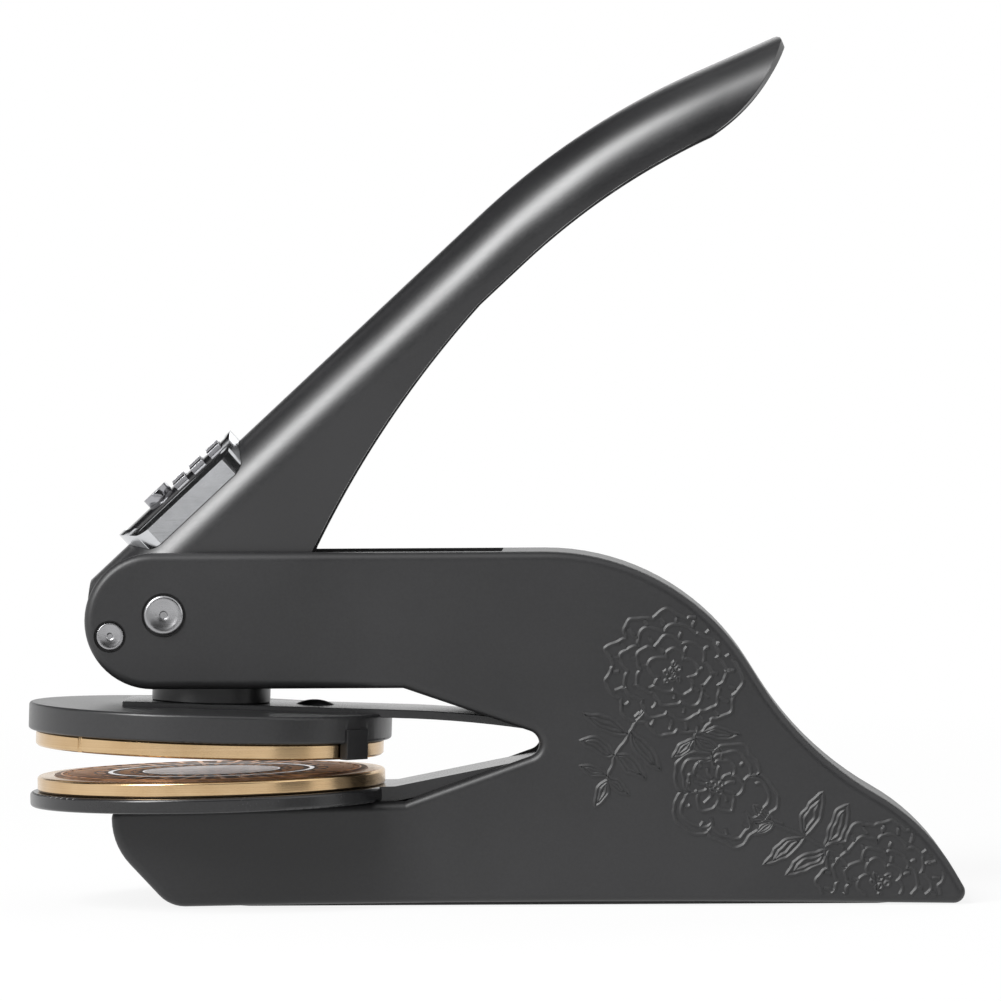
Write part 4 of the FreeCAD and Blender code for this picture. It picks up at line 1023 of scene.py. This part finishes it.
def bands(growth):
    bars, dots = growth.size("Bars"), growth.size("Dots")
    rows = ((bar(growth, 0.16, 0.028), bars, 0.83), (bar(growth, 0.05, 0.05), dots, 0.71),
            (disc(growth, 0.02), bars, 0.925), (bar(growth, 0.075, 0.025), bars, 0.555),
            (disc(growth, 0.018), dots, 0.485))
    return growth.joined([hoop(growth, 0.955, 0.012)] + [spoke_row(growth, *row) for row in rows])


def bright_hoops(growth):
    return growth.joined([hoop(growth, 0.645, 0.030), hoop(growth, 0.435, 0.010)])


def calm_middle(growth):
    return disc(growth, 0.43, 96, 1.4)


# The bands' bars and dots carry the brass with its painted highlight.
die_layers = {"bands": (bands, die_mark), "hoops": (bright_hoops, plated),
              "middle": (calm_middle, die_middle)}
for node, up in (("lower_die_face", 1), ("upper_die_face", -1)):
    for layer, (make, material) in die_layers.items():
        die_growth(node + "_" + layer, make, material, node, up)

# %% [markdown]
# ## Light, floor and camera
# The studio is plain: a pale floor that fades into a white room, one tall soft box in front, high on the
# left, which draws the streak on the lever, a weak fill on the right, and one from behind. The room is white
# for the camera and for reflections, but half as bright for diffuse light, so that the dark paint keeps its
# depth.

# %% Room and floor
def flat_sheet(width, height):
    mesh = bmesh.new()
    bmesh.ops.create_grid(mesh, x_segments=1, y_segments=1, size=0.5)
    bmesh.ops.scale(mesh, vec=(width, height, 1), verts=mesh.verts)
    return mesh


def seen_rays(network):
    """1 for the rays of the camera, of reflections and of glass, and 0 for those that carry diffuse light."""
    rays = network.node("ShaderNodeLightPath").socket.node.outputs
    camera, glossy, glass = (Wire(network, rays[key]) for key in ("Is Camera Ray", "Is Glossy Ray",
                                                                  "Is Transmission Ray"))
    return (camera + glossy + glass).clipped(0.0, 1.0)


room = Network()
world = bpy.data.worlds.new("white_room")
bpy.context.scene.world = world
world.use_nodes = True
room.tree = world.node_tree
background = room.found("BACKGROUND")
room.feed(background.inputs["Color"], (1, 1, 1))
room.feed(background.inputs["Strength"], seen_rays(room) * 0.5 + 0.5)

floor_side = 6.0
floor_gap = 0.1 * MM
fade_start, fade_end = 0.10, 0.50
floor = raw_object("floor", flat_sheet(floor_side, floor_side))
floor.location = (0, 0, cad_box[0][2] - floor_gap)
floor_paint = Finish("floor_paint", Roughness=0.9, Base_Color=(0.9, 0.9, 0.9))
x, y, _ = floor_paint.axes()
far_share = ((x * x + y * y) ** 0.5).clipped(fade_start, fade_end) * 0.14 + 0.86
glow = floor_paint.node("ShaderNodeEmission", values={"Strength": 1.0})
floor_paint.blended(far_share * seen_rays(floor_paint), glow)
floor.data.materials.append(floor_paint.material)
print("room and floor ready")

# %% [markdown]
# Chrome in an all-white room looks like paper. So black cards stand out of the picture, for the bright metal
# to mirror. They are black for every ray but the camera's own.

# %% Black cards and soft boxes
card_paint = Finish("card_black", Base_Color=(0.005, 0.005, 0.005), Roughness=1.0)
camera_ray = card_paint.node("ShaderNodeLightPath", output="Is Camera Ray")
card_paint.blended(camera_ray, card_paint.node("ShaderNodeBsdfTransparent"))


def aimed(obj, place, target):
    """Puts an object in its place, with its -Z side towards the target."""
    obj.location = place
    obj.rotation_euler = (Vector(target) - Vector(place)).to_track_quat("-Z", "Y").to_euler()


def black_card(name, place, target, width, height):
    card = raw_object(name, flat_sheet(width, height))
    aimed(card, place, target)
    card.data.materials.append(card_paint.material)


def soft_box(name, place, target, width, height, power):
    data = bpy.data.lights.new(name, "AREA")
    data.shape = "RECTANGLE"
    data.size, data.size_y, data.energy = width, height, power
    aimed(raw_object(name, data), place, target)


middle = (0.0, 0.0, 0.06)
black_card("card_high", (0.0, -1.35, 0.70), middle, 2.2, 0.9)
black_card("card_table", (0.0, -1.25, 0.002), (0.0, -1.25, 1.0), 2.4, 1.4)
black_card("card_behind", (0.1, 1.0, 0.90), middle, 2.2, 1.1)
black_card("card_above", (-0.62, 0.22, 0.73), middle, 0.55, 1.0)
low_card_reach, low_card_height = 0.25, 0.03
for angle, wide in ((57.0, 0.11), (97.0, 0.10)):
    a = math.radians(angle)
    stand = (die_x + low_card_reach * math.sin(a), -low_card_reach * math.cos(a), low_card_height)
    black_card("card_low_%d" % (angle + 180), stand, (die_x, 0.0, low_card_height), wide, 0.06)
soft_box("streak", (-0.63, -0.56, 0.75), middle, 0.36, 0.9, 15.0)
soft_box("fill", (0.9, -0.5, 0.35), middle, 0.6, 0.6, 1.0)
soft_box("back", (0.2, 0.9, 0.6), middle, 0.8, 0.5, 2.5)

# %% [markdown]
# The camera stands nearly a metre off with a long lens. It looks at the place in the middle of the picture,
# which follows from where the model's origin lies in it and from the real size of a pixel.

# %% Camera
picture_side = 1001
picture_middle = 500.0
origin_column = 493.3
ground_row = 899.7
pixel = 0.1437 * MM
camera_roll = -0.34
picture_centre = Vector(((picture_middle - origin_column) * pixel, 0, (ground_row - picture_middle) * pixel))
eye = Vector((15.4 * MM, -934.0 * MM, 77.6 * MM))
camera_data = bpy.data.cameras.new("camera")
camera = raw_object("camera", camera_data)
camera.location = eye
camera.rotation_mode = "QUATERNION"
aim = (picture_centre - eye).to_track_quat("-Z", "Y")
camera.rotation_quaternion = aim @ Matrix.Rotation(math.radians(camera_roll), 3, "Z").to_quaternion()
camera_data.sensor_width = 36.0
camera_data.lens = camera_data.sensor_width * (eye - picture_centre).length / (picture_side * pixel)
camera_data.clip_start, camera_data.clip_end = 0.05, 20.0
bpy.context.scene.camera = camera
bpy.context.scene.view_settings.view_transform = "Standard"
print("lens", round(camera_data.lens, 1), "mm")
